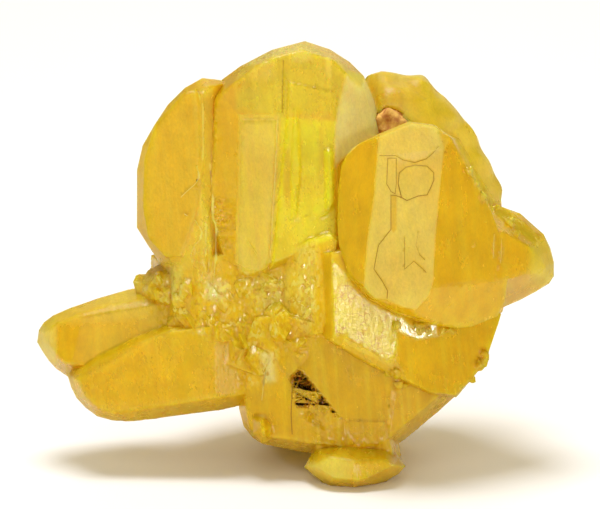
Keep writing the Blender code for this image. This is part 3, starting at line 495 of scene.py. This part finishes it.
class Graph:
    """A material's nodes, built by short calls."""

    def __init__(self, name: str) -> None:
        self.material = bpy.data.materials.new(name)
        self.material.use_nodes = True
        self.tree = self.material.node_tree
        self.shader = self.tree.nodes["Principled BSDF"]

    def add(self, kind: str, settings: dict[str, object] | None = None, **inputs: object) -> bpy.types.Node:
        """A new node.

        Args:
            kind: the node's type, without the words ShaderNode.
            settings: values of the node's own properties.
            **inputs: values or sockets for its inputs, with _ for a space in their names.

        Returns:
            The node.
        """
        made = self.tree.nodes.new("ShaderNode" + kind)
        for key, value in (settings or {}).items():
            setattr(made, key, value)
        for key, value in inputs.items():
            self.put(made.inputs[key.replace("_", " ")], value)
        return made

    def put(self, socket: bpy.types.NodeSocket, value: object) -> None:
        """Sets an input, or links an output to it."""
        if isinstance(value, bpy.types.NodeSocket):
            self.tree.links.new(value, socket)
        else:
            socket.default_value = value

    def math(self, operation: str, first: object, second: object = 0.0) -> bpy.types.NodeSocket:
        """The result of a sum on two values or sockets."""
        made = self.tree.nodes.new("ShaderNodeMath")
        made.operation = operation
        self.put(made.inputs[0], first)
        self.put(made.inputs[1], second)
        return made.outputs[0]

    def vector_math(self, operation: str, first: object, second: object) -> bpy.types.Node:
        """A node for a sum on two vectors."""
        made = self.tree.nodes.new("ShaderNodeVectorMath")
        made.operation = operation
        self.put(made.inputs[0], first)
        self.put(made.inputs[1], second)
        return made

    def mix(self, share: object, first: object, second: object, blend: str = "MIX") -> bpy.types.NodeSocket:
        """A blend of two colours."""
        made = self.tree.nodes.new("ShaderNodeMix")
        made.data_type = "RGBA"
        made.blend_type = blend
        self.put(made.inputs[0], share)
        self.put(made.inputs[6], first)
        self.put(made.inputs[7], second)
        return made.outputs[2]

    def attribute(self, name: str) -> bpy.types.Node:
        """The node that reads a named attribute of the mesh."""
        return self.add("Attribute", {"attribute_name": name})

    def in_plane(self, stretch: tuple[float, float, float]) -> bpy.types.NodeSocket:
        """Coordinates along the front plane, in lumps of stretch millimetres."""
        place = self.add("TexCoord").outputs["Object"]
        turned = self.add("Mapping", {"vector_type": "TEXTURE"}, Vector=place)
        turned.inputs["Rotation"].default_value = PLANE.grain()
        turned.inputs["Scale"].default_value = tuple(MM * size for size in stretch)
        return turned.outputs[0]

    def noise(self, stretch: tuple[float, float, float], detail: float = 3.0,
              rough: float = 0.5) -> bpy.types.NodeSocket:
        """Noise whose lumps are stretch millimetres long."""
        made = self.add("TexNoise", Vector=self.in_plane(stretch), Scale=1.0, Detail=detail, Roughness=rough)
        return made.outputs["Fac"]

    def between(self, value: object, low: float, high: float, to_low: object = 0.0,
                to_high: object = 1.0) -> bpy.types.NodeSocket:
        """A value moved from one range to another, and kept inside it."""
        made = self.add("MapRange", None, Value=value, From_Min=low, From_Max=high, To_Min=to_low, To_Max=to_high)
        return made.outputs[0]


@dataclass(frozen=True)
class SulfurFinish:
    """Golden translucent sulfur, glossy where it grew smooth and matte where it was etched."""

    smooth_roughness: float = 0.18
    matte_roughness: float = 0.50
    glint_roughness: float = 0.10
    facet_size: tuple[float, float, float] = (0.32, 0.32, 0.50)
    crackle_size: tuple[float, float, float] = (0.42, 0.42, 0.50)
    crackle_bend: float = 0.9
    painted_glint_size: tuple[float, float, float] = (0.24, 0.24, 0.36)
    glow_depth: float = 3.0
    glow: float = 0.75
    refraction: float = 1.62
    specular: float = 0.10
    clarity: float = 0.33
    grain: float = 0.09
    mottling: float = 0.07
    cloud: Colour = (0.80, 0.46, 0.005)
    streak: Colour = (0.94, 0.78, 0.045)
    line_shade: Colour = (0.42, 0.22, 0.010)
    line_light: Colour = (1.0, 0.82, 0.16)
    painted_glint: Colour = (1.0, 0.82, 0.15)
    pit: Colour = (0.66, 0.34, 0.002)

    def material(self) -> bpy.types.Material:
        """Builds the material."""
        graph = Graph("sulfur_crystal")
        finish = graph.add("SeparateColor", None, Color=graph.attribute("finish").outputs["Color"])
        matte, streaked = finish.outputs[MATTE.value], finish.outputs[STREAKED.value]
        fracture = graph.add("SeparateColor", None, Color=graph.attribute("fracture").outputs["Color"])
        broken, crackled, parallel = (fracture.outputs[index] for index in range(3))
        self.paint(graph, streaked, broken, crackled)
        rough = graph.between(matte, 0.0, 1.0, self.smooth_roughness, self.matte_roughness)
        patchy = graph.between(graph.noise((1.2, 1.2, 2.0), 5.0, 0.6), 0.3, 0.7, -0.06, 0.08)
        glossy = graph.between(graph.math("MAXIMUM", broken, parallel), 0.0, 0.4)
        rough = graph.between(glossy, 0.0, 1.0, graph.math("ADD", rough, patchy), self.glint_roughness)
        graph.put(graph.shader.inputs["Roughness"], rough)
        height = graph.math("ADD", self.grown_relief(graph, matte, streaked),
                            self.fractured_relief(graph, broken, parallel))
        bump = graph.add("Bump", None, Strength=1.0, Distance=MM, Height=height)
        graph.put(graph.shader.inputs["Normal"], bump.outputs[0])
        shader = graph.shader
        shader.inputs["IOR"].default_value = self.refraction
        shader.inputs["Specular IOR Level"].default_value = self.specular
        shader.inputs["Transmission Weight"].default_value = self.clarity
        shader.inputs["Subsurface Weight"].default_value = self.glow
        shader.inputs["Subsurface Radius"].default_value = (1.0, 0.6, 0.12)
        shader.inputs["Subsurface Scale"].default_value = self.glow_depth * MM
        return graph.material

    def paint(self, graph: Graph, streaked: bpy.types.NodeSocket, broken: bpy.types.NodeSocket,
              crackled: bpy.types.NodeSocket) -> None:
        """Colours the crystal: cloudy inside, streaked along its length, with painted glints where it broke, and
        marked where layers end, the dark marks being painted shade.

        Args:
            graph: the material's nodes.
            streaked: how streaked the place is.
            broken: how broken it is, which scatters painted glints, pale flecks that stand in for small highlights,
                and dark pits over it.
            crackled: how crackled it is, which parts it by dark lines.
        """
        tint = graph.attribute("tint").outputs["Color"]
        clouds = graph.between(graph.noise((4.0, 4.0, 6.0), 4.0, 0.5), 0.40, 0.66, 0.0, 0.35)
        base = graph.mix(clouds, tint, (*self.cloud, 1.0))
        streaks = graph.between(graph.noise((0.45, 2.0, 9.0), 3.0), 0.45, 0.66)
        share = graph.math("MULTIPLY", streaks, graph.between(streaked, 0.0, 1.0, 0.05, 0.5))
        base = graph.mix(share, base, (*self.streak, 1.0))
        facet = graph.attribute("facet").outputs["Fac"]
        base = graph.mix(1.0, base, graph.between(facet, 0.0, 1.0, 0.94, 1.04), "MULTIPLY")
        patches = graph.noise((1.3, 1.3, 2.2), 5.0, 0.65)
        mottled = graph.between(patches, 0.35, 0.65, 1.0 - self.mottling, 1.0 + self.mottling)
        base = graph.mix(1.0, base, mottled, "MULTIPLY")
        fine = graph.noise((0.16, 0.16, 0.30), 4.0, 0.7)
        base = graph.mix(1.0, base, graph.between(fine, 0.3, 0.7, 1.0 - self.grain, 1.0 + self.grain), "MULTIPLY")
        # painted highlight: pale cells scattered where the crystal broke stand in for the glints of its small facets
        cells = graph.add("TexVoronoi", None, Vector=graph.in_plane(self.painted_glint_size), Scale=1.0)
        chance = graph.add("SeparateColor", None, Color=cells.outputs["Color"])
        crowded = graph.math("MULTIPLY", broken, graph.between(graph.noise((1.4, 1.4, 1.9)), 0.44, 0.60))
        pale = graph.math("MULTIPLY", crowded, graph.between(chance.outputs[0], 0.60, 0.75))
        base = graph.mix(pale, base, (*self.painted_glint, 1.0))
        pitted = graph.math("MULTIPLY", broken, graph.between(chance.outputs[1], 0.80, 0.95, 0.0, 0.6))
        base = graph.mix(pitted, base, (*self.pit, 1.0))
        bent = graph.add("TexNoise", None, Vector=graph.in_plane((0.7, 0.7, 0.9)), Scale=1.0, Detail=3.0)
        bent = graph.add("VectorMath", {"operation": "SCALE"}, Vector=bent.outputs["Color"], Scale=self.crackle_bend)
        bent = graph.vector_math("ADD", graph.in_plane(self.crackle_size), bent.outputs[0])
        border = graph.add("TexVoronoi", {"feature": "DISTANCE_TO_EDGE"}, Vector=bent.outputs[0], Scale=1.0)
        fading = graph.between(graph.noise((1.1, 1.1, 1.3)), 0.38, 0.60, 0.1, 0.9)
        cracks = graph.math("MULTIPLY", fading, graph.between(border.outputs["Distance"], 0.02, 0.09, 1.0, 0.0))
        cracks = graph.math("MULTIPLY", crackled, cracks)
        base = graph.mix(cracks, base, (*self.pit, 1.0))
        line = graph.attribute("line").outputs["Fac"]
        base = graph.mix(graph.between(line, 0.0, 1.0), base, (*self.line_light, 1.0))
        # painted shade: the faces that end a layer or make a dark line take a dark colour standing in for the shadow
        # of the step
        base = graph.mix(graph.between(line, 0.0, -1.0), base, (*self.line_shade, 1.0))
        graph.put(graph.shader.inputs["Base Color"], base)

    def grown_relief(self, graph: Graph, matte: bpy.types.NodeSocket,
                     streaked: bpy.types.NodeSocket) -> bpy.types.NodeSocket:
        """The fine relief of the faces that grew.

        Args:
            graph: the material's nodes.
            matte: how matte the place is, which gives it a grain.
            streaked: how streaked it is, which gives it striations.

        Returns:
            The height, in millimetres.
        """
        grain = graph.math("MULTIPLY", graph.noise((0.25, 0.25, 0.3), 3.0, 0.6),
                           graph.between(matte, 0.0, 1.0, 0.012, 0.085))
        lines = graph.math("MULTIPLY", graph.noise((0.32, 1.5, 12.0), 3.0, 0.6),
                           graph.between(streaked, 0.0, 1.0, 0.008, 0.035))
        return graph.math("ADD", grain, lines)

    def fractured_relief(self, graph: Graph, broken: bpy.types.NodeSocket,
                         parallel: bpy.types.NodeSocket) -> bpy.types.NodeSocket:
        """The small flat facets where the crystals broke.

        Args:
            graph: the material's nodes.
            broken: how broken the place is, which tilts them at random.
            parallel: how far they lie parallel to the one cleavage.

        Returns:
            The height, in millimetres.
        """
        place = graph.in_plane(self.facet_size)
        cells = graph.add("TexVoronoi", None, Vector=place, Scale=1.0)
        offset = graph.vector_math("SUBTRACT", place, cells.outputs["Position"])
        slope = graph.vector_math("SUBTRACT", cells.outputs["Color"], (0.5, 0.5, 0.5))
        spread = graph.math("MULTIPLY", graph.between(broken, 0.0, 1.0, 0.01, 0.7),
                            graph.between(parallel, 0.0, 1.0, 1.0, 0.12))
        spread = graph.math("ADD", spread, graph.math("MULTIPLY", parallel, 0.07))
        slope = graph.add("VectorMath", {"operation": "SCALE"}, Vector=slope.outputs[0], Scale=spread)
        slope = graph.vector_math("ADD", slope.outputs[0], graph.attribute("lean").outputs["Vector"])
        slope = graph.vector_math("MULTIPLY", slope.outputs[0], self.facet_size)
        return graph.vector_math("DOT_PRODUCT", offset.outputs[0], slope.outputs[0]).outputs["Value"]


@dataclass(frozen=True)
class ClayFinish:
    """Dull red-brown clay with paler grains."""

    dark: Colour = (0.50, 0.18, 0.035)
    pale: Colour = (0.90, 0.56, 0.12)

    def material(self) -> bpy.types.Material:
        """Builds the material."""
        graph = Graph("clay")
        lumps = graph.between(graph.noise((0.6, 0.6, 0.6), 6.0, 0.6), 0.35, 0.65)
        graph.put(graph.shader.inputs["Base Color"], graph.mix(lumps, (*self.dark, 1.0), (*self.pale, 1.0)))
        graph.shader.inputs["Roughness"].default_value = 0.85
        bump = graph.add("Bump", None, Strength=0.8, Distance=0.1 * MM, Height=lumps)
        graph.put(graph.shader.inputs["Normal"], bump.outputs[0])
        return graph.material


@dataclass
class GrowthMarks:
    """The thin layers and fine lines that grew on the crystals' faces, as one closed mesh each."""

    sink: float = 0.12
    slant: float = 0.9
    name: str = "growth_marks"

    def build(self, surface: BVHTree) -> bpy.types.Object:
        """Makes every layer and line, lying on a surface.

        Args:
            surface: the surface that they lie on.

        Returns:
            One object that holds them all.
        """
        made = [self.layer(layer, surface) for layer in LAYERS]
        made += [self.vein(vein, surface) for vein in VEINS]
        select_nothing()
        for obj in made:
            obj.select_set(True)
        bpy.context.view_layer.objects.active = made[0]
        bpy.ops.object.join()
        made[0].name = self.name
        return made[0]

    def facet(self, place: Point2, surface: BVHTree) -> tuple[float, float, float]:
        """How the facet at a place on the front plane lies.

        Args:
            place: the place.
            surface: the surface that the facet belongs to.

        Returns:
            Its slopes along x and z, and its depth at the place in millimetres.
        """
        start = PLANE.to_model((place[0], -40.0, place[1]))
        hit = surface.ray_cast(start, PLANE.lean() @ Vector((0.0, 1.0, 0.0)))
        outward = PLANE.lean().transposed() @ hit[1]
        return -outward.x / outward.y, -outward.z / outward.y, hit[3] / MM - 40.0

    def layer(self, layer: Layer, surface: BVHTree) -> bpy.types.Object:
        """A flat plate with slanting walls, sunk into the surface.

        Args:
            layer: which layer.
            surface: the surface that it lies on.

        Returns:
            The plate.
        """
        count = len(layer.corners)
        select_nothing()
        bpy.ops.mesh.primitive_circle_add(vertices=count, radius=MM, fill_type="NGON")
        obj = bpy.context.active_object
        obj.name = layer.name
        bpy.ops.object.mode_set(mode="EDIT")
        bpy.ops.mesh.select_all(action="SELECT")
        bpy.ops.mesh.extrude_region_move()
        bpy.ops.object.mode_set(mode="OBJECT")
        middle = tuple(sum(values) / count for values in zip(*layer.corners))
        along, up, depth = self.facet(middle, surface)
        tops = offset(layer.corners, -layer.height * self.slant)
        feet = offset(layer.corners, self.sink * self.slant)
        for index, vertex in enumerate(obj.data.vertices):
            corner = (feet if index < count else tops)[index % count]
            level = depth + along * (corner[0] - middle[0]) + up * (corner[1] - middle[1])
            rise = -self.sink if index < count else layer.height
            vertex.co = PLANE.to_model((corner[0], level - rise, corner[1]))
        self.finish(obj, Line.SHADE, range(count, 2 * count))
        return obj

    def vein(self, vein: Vein, surface: BVHTree) -> bpy.types.Object:
        """A fine rod half sunk into the surface.

        Args:
            vein: which line.
            surface: the surface that it lies on.

        Returns:
            The rod.
        """
        path = bpy.data.curves.new(vein.name, "CURVE")
        path.dimensions = "3D"
        path.bevel_depth = vein.thickness * 0.5 * MM
        path.bevel_resolution = 1
        path.use_fill_caps = True
        run = path.splines.new("POLY")
        run.points.add(len(vein.points) - 1)
        for point, corner in zip(run.points, vein.points):
            point.co = (*PLANE.to_model((corner[0], self.facet(corner, surface)[2], corner[1])), 1.0)
        obj = bpy.data.objects.new(vein.name, path)
        bpy.context.scene.collection.objects.link(obj)
        make_active(obj)
        bpy.ops.object.convert(target="MESH")
        bpy.ops.object.mode_set(mode="EDIT")
        bpy.ops.mesh.select_all(action="SELECT")
        bpy.ops.mesh.remove_doubles(threshold=0.001 * MM)
        bpy.ops.object.mode_set(mode="OBJECT")
        self.finish(obj, vein.line)
        return obj

    def finish(self, obj: bpy.types.Object, line: Line, top: range = range(0)) -> None:
        """Turns the faces outwards and marks the ones that end a layer or make a line.

        Args:
            obj: the plate or rod.
            line: what its marked faces are.
            top: the vertices of its top, which stays unmarked.
        """
        make_active(obj)
        bpy.ops.object.mode_set(mode="EDIT")
        bpy.ops.mesh.select_all(action="SELECT")
        bpy.ops.mesh.quads_convert_to_tris(quad_method="BEAUTY", ngon_method="BEAUTY")
        bpy.ops.mesh.normals_make_consistent(inside=False)
        bpy.ops.object.mode_set(mode="OBJECT")
        mark_slots(obj.data)
        for face in obj.data.polygons:
            on_top = all(vertex in top for vertex in face.vertices)
            face.material_index = Line.NONE.value if on_top else line.value


@dataclass
class CrystalCluster:
    """The grown crystals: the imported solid, merged, given its growth marks, cut up fine and given its relief."""

    node: str = "sulfur_crystals"
    name: str = "crystal_cluster"
    merge_gap: float = 0.002
    facet_angle: float = 0.6
    front_edge: float = 0.50
    rear_edge: float = 0.95
    border_edge: float = 0.14
    most_rounds: int = 12
    worn_angle: float = 16.0
    wear: float = 0.05
    waviness: float = 0.03
    # painted shade: colours that darken faces looking up under the top light and faces looking down at the bright
    # floor
    painted_shade_on_tops: Colour = (0.73, 0.69, 0.12)
    painted_shade_on_undersides: Colour = (0.86, 0.80, 0.12)
    shade_from: float = 0.28
    shade_over: float = 0.45

    def build(self) -> bpy.types.Object:
        """Makes the finished piece."""
        obj = self.copied()
        self.number_facets(obj)
        self.cut_fine(obj)
        self.soften(obj)
        self.shape(obj)
        make_active(obj)
        bpy.ops.object.shade_smooth_by_angle(angle=math.radians(24.0))
        obj.data.materials.clear()
        obj.data.materials.append(SulfurFinish().material())
        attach(obj, "root")
        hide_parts(self.node)
        return obj

    def copied(self) -> bpy.types.Object:
        """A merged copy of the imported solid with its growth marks, and one face for each flat facet."""
        source = frame["nodes"][self.node]
        obj = bpy.data.objects.new(self.name, source.data.copy())
        bpy.context.scene.collection.objects.link(obj)
        make_active(obj)
        bpy.ops.object.mode_set(mode="EDIT")
        bpy.ops.mesh.select_all(action="SELECT")
        bpy.ops.mesh.remove_doubles(threshold=self.merge_gap * MM)
        bpy.ops.object.mode_set(mode="OBJECT")
        mark_slots(obj.data)
        surface = BVHTree.FromPolygons([vertex.co for vertex in obj.data.vertices],
                                       [tuple(face.vertices) for face in obj.data.polygons])
        marks = GrowthMarks().build(surface)
        union = obj.modifiers.new("growth_marks", "BOOLEAN")
        union.operation = "UNION"
        union.object = marks
        union.solver = "MANIFOLD"
        make_active(obj)
        bpy.ops.object.modifier_apply(modifier=union.name)
        bpy.data.objects.remove(marks)
        bpy.ops.object.mode_set(mode="EDIT")
        bpy.ops.mesh.select_all(action="SELECT")
        bpy.ops.mesh.dissolve_limited(angle_limit=math.radians(self.facet_angle), delimit={"MATERIAL"})
        bpy.ops.object.mode_set(mode="OBJECT")
        return obj

    def number_facets(self, obj: bpy.types.Object) -> None:
        """Gives each flat facet a lightness that comes from how it lies, and keeps which ones mark a line."""
        faces = obj.data.polygons
        normals = values_of(faces, "normal", 3)
        reach = (normals * values_of(faces, "center", 3)).sum(axis=1) / MM
        lightness = obj.data.attributes.new("facet", "FLOAT", "FACE")
        lightness.data.foreach_set("value", 0.5 + noise_at(normals * 3.0 + reach[:, None] * 0.7, (1.0, 1.0, 1.0), 4))
        shown = {Line.NONE.value: 0.0, Line.SHADE.value: -1.0, Line.LIGHT.value: 1.0}
        line = obj.data.attributes.new("line", "FLOAT", "FACE")
        line.data.foreach_set("value", [shown.get(face.material_index, 0.0) for face in faces])

    def cut_fine(self, obj: bpy.types.Object) -> None:
        """Cuts the long edges in two, over and over, until none is left."""
        make_active(obj)
        bpy.ops.object.mode_set(mode="EDIT")
        bpy.ops.mesh.select_mode(type="EDGE")
        bpy.ops.mesh.select_all(action="SELECT")
        bpy.ops.mesh.quads_convert_to_tris(quad_method="BEAUTY", ngon_method="BEAUTY")
        bpy.ops.object.mode_set(mode="OBJECT")
        for _ in range(self.most_rounds):
            long_edges = self.long_edges(obj.data)
            if not long_edges.any():
                break
            obj.data.edges.foreach_set("select", long_edges)
            bpy.ops.object.mode_set(mode="EDIT")
            bpy.ops.mesh.subdivide(number_cuts=1)
            bpy.ops.mesh.select_all(action="SELECT")
            bpy.ops.mesh.quads_convert_to_tris(quad_method="BEAUTY", ngon_method="BEAUTY")
            bpy.ops.mesh.beautify_fill(angle_limit=math.radians(self.facet_angle))
            bpy.ops.mesh.select_all(action="DESELECT")
            bpy.ops.object.mode_set(mode="OBJECT")

    def soften(self, obj: bpy.types.Object) -> None:
        """Rounds the lumps of the back plate and the crease between the two tablets."""
        points = PLANE.from_model(values_of(obj.data.vertices, "co", 3))
        make_active(obj)
        for place in SOFTENINGS:
            bpy.ops.object.mode_set(mode="EDIT")
            bpy.ops.mesh.select_mode(type="VERT")
            bpy.ops.mesh.select_all(action="DESELECT")
            bpy.ops.object.mode_set(mode="OBJECT")
            soft = (place.outline.inside(points) > 0.5) & (points[:, 1] > place.ahead)
            obj.data.vertices.foreach_set("select", soft)
            bpy.ops.object.mode_set(mode="EDIT")
            bpy.ops.mesh.vertices_smooth(factor=0.5, repeat=place.rounds)
            bpy.ops.object.mode_set(mode="OBJECT")

    def long_edges(self, mesh: bpy.types.Mesh) -> np.ndarray:
        """Which edges are longer than their place on the specimen allows.

        Args:
            mesh: the triangles so far.

        Returns:
            True or False for each edge.
        """
        points = PLANE.from_model(values_of(mesh.vertices, "co", 3))
        ends = values_of(mesh.edges, "vertices", 2, np.int32)
        lengths = np.linalg.norm(points[ends[:, 0]] - points[ends[:, 1]], axis=1)
        faces = PLANE.turned(values_of(mesh.polygons, "normal", 3))
        towards = np.full(len(ends), -1.0)
        corners = values_of(mesh.loops, "edge_index", 1, np.int32).ravel()
        totals = values_of(mesh.polygons, "loop_total", 1, np.int32).ravel()
        np.maximum.at(towards, corners, np.repeat(-faces[:, 1], totals))
        front = towards > 0.05
        limit = np.where(front, self.front_edge, self.rear_edge)
        for patch in PATCHES:
            inside = patch.outline.inside(points)[ends]
            reached = front & (points[ends].mean(axis=1)[:, 1] < patch.behind)
            if patch.edge:
                limit[reached & (inside.mean(axis=1) > 0.5) & (limit > patch.edge)] = patch.edge
            crossing = reached & (np.abs(inside[:, 0] - inside[:, 1]) > 0.35)
            limit[crossing] = self.border_edge
        return lengths > limit

    def shape(self, obj: bpy.types.Object) -> None:
        """Paints shade onto the faces that look up or down; moves the surface: worn edges, waves, terraces and broken
        facets; then records the finishes.
        """
        mesh = obj.data
        places = values_of(mesh.vertices, "co", 3)
        normals = values_of(mesh.vertex_normals, "vector", 3)
        points = PLANE.from_model(places)
        tint, finishes = self.dress(points, PLANE.turned(normals))
        # painted shade: faces that look up or down are painted darker, to hold back the light that falls on them
        for shade, side in ((self.painted_shade_on_tops, 1.0), (self.painted_shade_on_undersides, -1.0)):
            share = smooth((normals[:, 2:] * side - self.shade_from) / self.shade_over)
            tint *= 1.0 - share * (1.0 - np.array(shade))
        height = self.relief(points, finishes)
        height -= self.worn(mesh) * self.wear
        height[places[:, 2] < 0.02 * MM] = 0.0
        moved = places + normals * height[:, None] * MM
        moved[:, 2] = np.maximum(moved[:, 2], 0.0)
        mesh.vertices.foreach_set("co", moved.astype(np.float32).ravel())
        mesh.update()
        self.record(mesh, tint, finishes)
        self.record_lean(mesh, normals, finishes[:, PARALLEL.value])

    def dress(self, points: np.ndarray, outward: np.ndarray) -> tuple[np.ndarray, np.ndarray]:
        """The colour and the finishes of every point.

        Args:
            points: the points on the front plane.
            outward: which way the surface faces there.

        Returns:
            Colours and finishes, one point a row.
        """
        tint = np.tile(np.array(GOLD), (len(points), 1))
        finishes = np.zeros((len(points), len(Finish)))
        patchy = smooth(0.5 + noise_at(points, (4.0, 4.0, 6.0), 3) * 1.2)
        finishes[:, MATTE.value] = 0.35 * patchy
        finishes[:, STREAKED.value] = 0.3
        finishes[:, TERRACED.value] = 0.35 * (1.0 - patchy)
        towards = smooth(-outward[:, 1] * 4.0)
        for patch in PATCHES:
            share = patch.outline.inside(points) * towards * smooth(patch.behind - points[:, 1])
            tint += (np.array(patch.colour) - tint) * (share * patch.strength)[:, None]
            for finish, amount in patch.finishes:
                finishes[:, finish.value] += (amount - finishes[:, finish.value]) * share
        return tint, finishes

    def relief(self, points: np.ndarray, finishes: np.ndarray) -> np.ndarray:
        """How far every point moves outwards, in millimetres.

        Args:
            points: the points on the front plane.
            finishes: the finishes of every point.

        Returns:
            One height a point.
        """
        height = self.waviness * noise_at(points, (3.0, 3.0, 4.0), 1)
        level = noise_at(points, (2.2, 2.2, 4.0), 2) * 5.0
        height += finishes[:, TERRACED.value] * 0.012 * (np.floor(level) + smooth((level % 1.0) * 4.0)) * 0.5
        rough = noise_at(points, (1.1, 1.1, 1.6), 6) + 0.6 * noise_at(points, (0.5, 0.5, 0.7), 7)
        return height + finishes[:, BROKEN.value] * 0.055 * rough

    def worn(self, mesh: bpy.types.Mesh) -> np.ndarray:
        """How much every point wears: 1 on a sharp edge that sticks out, 0 elsewhere and on the fine lines."""
        body = bmesh.new()
        body.from_mesh(mesh)
        line = body.faces.layers.float["line"]
        limit = math.radians(self.worn_angle)
        worn = np.zeros(len(mesh.vertices))
        for edge in body.edges:
            plain = len(edge.link_faces) == 2 and not any(face[line] for face in edge.link_faces)
            if plain and edge.calc_face_angle_signed() > limit:
                for vertex in edge.verts:
                    worn[vertex.index] = 1.0
        body.free()
        return worn

    def record(self, mesh: bpy.types.Mesh, tint: np.ndarray, finishes: np.ndarray) -> None:
        """Keeps the colours and finishes on the mesh for the material to read.

        Args:
            mesh: the piece's mesh.
            tint: the colour of every point.
            finishes: the finishes of every point.
        """
        opaque = np.ones((len(tint), 1))
        colours = mesh.attributes.new("tint", "FLOAT_COLOR", "POINT")
        colours.data.foreach_set("color", np.hstack([tint, opaque]).astype(np.float32).ravel())
        for name, first in (("finish", MATTE.value), ("fracture", BROKEN.value)):
            three = mesh.attributes.new(name, "FLOAT_COLOR", "POINT")
            values = np.hstack([finishes[:, first:first + 3], opaque])
            three.data.foreach_set("color", values.astype(np.float32).ravel())

    def record_lean(self, mesh: bpy.types.Mesh, normals: np.ndarray, parallel: np.ndarray) -> None:
        """Keeps the slope that turns the small facets of every point towards the one cleavage.

        Args:
            mesh: the piece's mesh.
            normals: which way the surface faces at every point.
            parallel: how far the small facets there are turned.
        """
        facing = PLANE.facing(*CLEAVAGE)
        towards = np.maximum(normals @ facing, 0.35)
        slope = normals - facing / towards[:, None]
        slope = (slope * parallel[:, None]) @ np.array(PLANE.grain().to_matrix())
        lean = mesh.attributes.new("lean", "FLOAT_VECTOR", "POINT")
        lean.data.foreach_set("vector", slope.astype(np.float32).ravel())


@dataclass
class ClayRemnant:
    """The clay left in the crevice, cut fine and roughened."""

    node: str = "clay_matrix"
    name: str = "clay_remnant"
    swell: float = 0.16
    roughness: float = 0.22

    def build(self) -> bpy.types.Object:
        """Makes the finished piece."""
        source = frame["nodes"][self.node]
        obj = bpy.data.objects.new(self.name, source.data.copy())
        bpy.context.scene.collection.objects.link(obj)
        make_active(obj)
        bpy.ops.object.mode_set(mode="EDIT")
        bpy.ops.mesh.select_all(action="SELECT")
        bpy.ops.mesh.remove_doubles(threshold=0.002 * MM)
        bpy.ops.mesh.subdivide(number_cuts=5, smoothness=0.0)
        bpy.ops.object.mode_set(mode="OBJECT")
        places = np.empty(len(obj.data.vertices) * 3, np.float32)
        obj.data.vertices.foreach_get("co", places)
        places = places.reshape(-1, 3).astype(float)
        normals = np.array([tuple(normal.vector) for normal in obj.data.vertex_normals])
        height = self.swell + self.roughness * noise_at(places / MM, (0.7, 0.7, 0.7), 5)
        obj.data.vertices.foreach_set("co", (places + normals * height[:, None] * MM).astype(np.float32).ravel())
        bpy.ops.object.shade_smooth()
        obj.data.materials.clear()
        obj.data.materials.append(ClayFinish().material())
        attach(obj, "root")
        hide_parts(self.node)
        return obj


@dataclass
class Studio:
    """The floor, the lights and the camera."""

    floor_reach: float = 3.0
    lens: float = 300.0
    picture: tuple[int, int] = (600, 509)
    picture_middle: Point2 = (-1.8, -0.405)
    mm_a_pixel: float = 0.09
    camera_lift: float = 14.0
    surround: float = 0.45
    surround_colour: Colour = (1.0, 0.88, 0.58)
    key_power: float = 0.40
    glint_power: float = 0.60
    top_power: float = 2.5
    back_power: float = 0.5

    def build(self) -> None:
        """Makes the studio."""
        self.floor()
        self.world()
        self.light("key_light", (-0.08, -0.42, 0.38), 0.34, self.key_power, (1.0, 0.98, 0.94))
        self.light("glint_light", (0.14, -0.47, 0.09), 0.05, self.glint_power, (1.0, 0.99, 0.97))
        self.light("top_light", (-0.05, 0.05, 0.55), 0.24, self.top_power, (0.97, 1.0, 1.08))
        self.light("back_light", (0.10, 0.45, 0.30), 0.50, self.back_power, (1.0, 0.99, 0.97))
        self.camera()

    def floor(self) -> None:
        """A pale floor."""
        select_nothing()
        bpy.ops.mesh.primitive_plane_add(size=self.floor_reach * 2.0)
        floor = bpy.context.active_object
        floor.name = "pale_floor"
        graph = Graph("pale_floor")
        graph.shader.inputs["Base Color"].default_value = (0.90, 0.89, 0.87, 1.0)
        graph.shader.inputs["Roughness"].default_value = 0.6
        floor.data.materials.append(graph.material)

    def world(self) -> None:
        """Even warm light from all round."""
        world = bpy.data.worlds.new("studio")
        bpy.context.scene.world = world
        world.use_nodes = True
        background = world.node_tree.nodes["Background"]
        background.inputs["Color"].default_value = (*self.surround_colour, 1.0)
        background.inputs["Strength"].default_value = self.surround

    def light(self, name: str, place: tuple[float, float, float], size: float, power: float,
              colour: Colour) -> None:
        """A square soft light aimed at the specimen.

        Args:
            name: its name.
            place: where it stands, in metres.
            size: the length of its side, in metres.
            power: its power in watts.
            colour: its colour.
        """
        lamp = bpy.data.lights.new(name, "AREA")
        lamp.size = size
        lamp.energy = power
        lamp.color = colour
        obj = bpy.data.objects.new(name, lamp)
        bpy.context.scene.collection.objects.link(obj)
        obj.location = place
        aim = Vector(place) - PLANE.to_model((0.0, 0.0, 0.0))
        obj.rotation_mode = "QUATERNION"
        obj.rotation_quaternion = aim.to_track_quat("Z", "Y")

    def camera(self) -> None:
        """A long lens square to the front plane, framed as the photograph."""
        lens = bpy.data.cameras.new("camera")
        camera = bpy.data.objects.new("camera", lens)
        bpy.context.scene.collection.objects.link(camera)
        lens.lens = self.lens
        wide = self.picture[0] * self.mm_a_pixel
        distance = wide * self.lens / lens.sensor_width
        lift = math.radians(self.camera_lift)
        back = Vector((0.0, -math.cos(lift), math.sin(lift)))
        middle = PLANE.to_model((self.picture_middle[0], 0.0, self.picture_middle[1]))
        camera.location = middle + back * distance * MM
        camera.rotation_mode = "QUATERNION"
        camera.rotation_quaternion = back.to_track_quat("Z", "Y")
        lens.clip_start, lens.clip_end = 0.01, 20.0
        bpy.context.scene.camera = camera
        bpy.context.scene.view_settings.view_transform = "Standard"


def main() -> None:
    """Dresses the specimen and sets up the studio."""
    logging.basicConfig(level=logging.INFO)
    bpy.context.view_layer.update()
    for part in (CrystalCluster(), ClayRemnant()):
        obj = part.build()
        LOG.info("%s: %d faces", obj.name, len(obj.data.polygons))
    Studio().build()


if __name__ == "__main__":
    main()
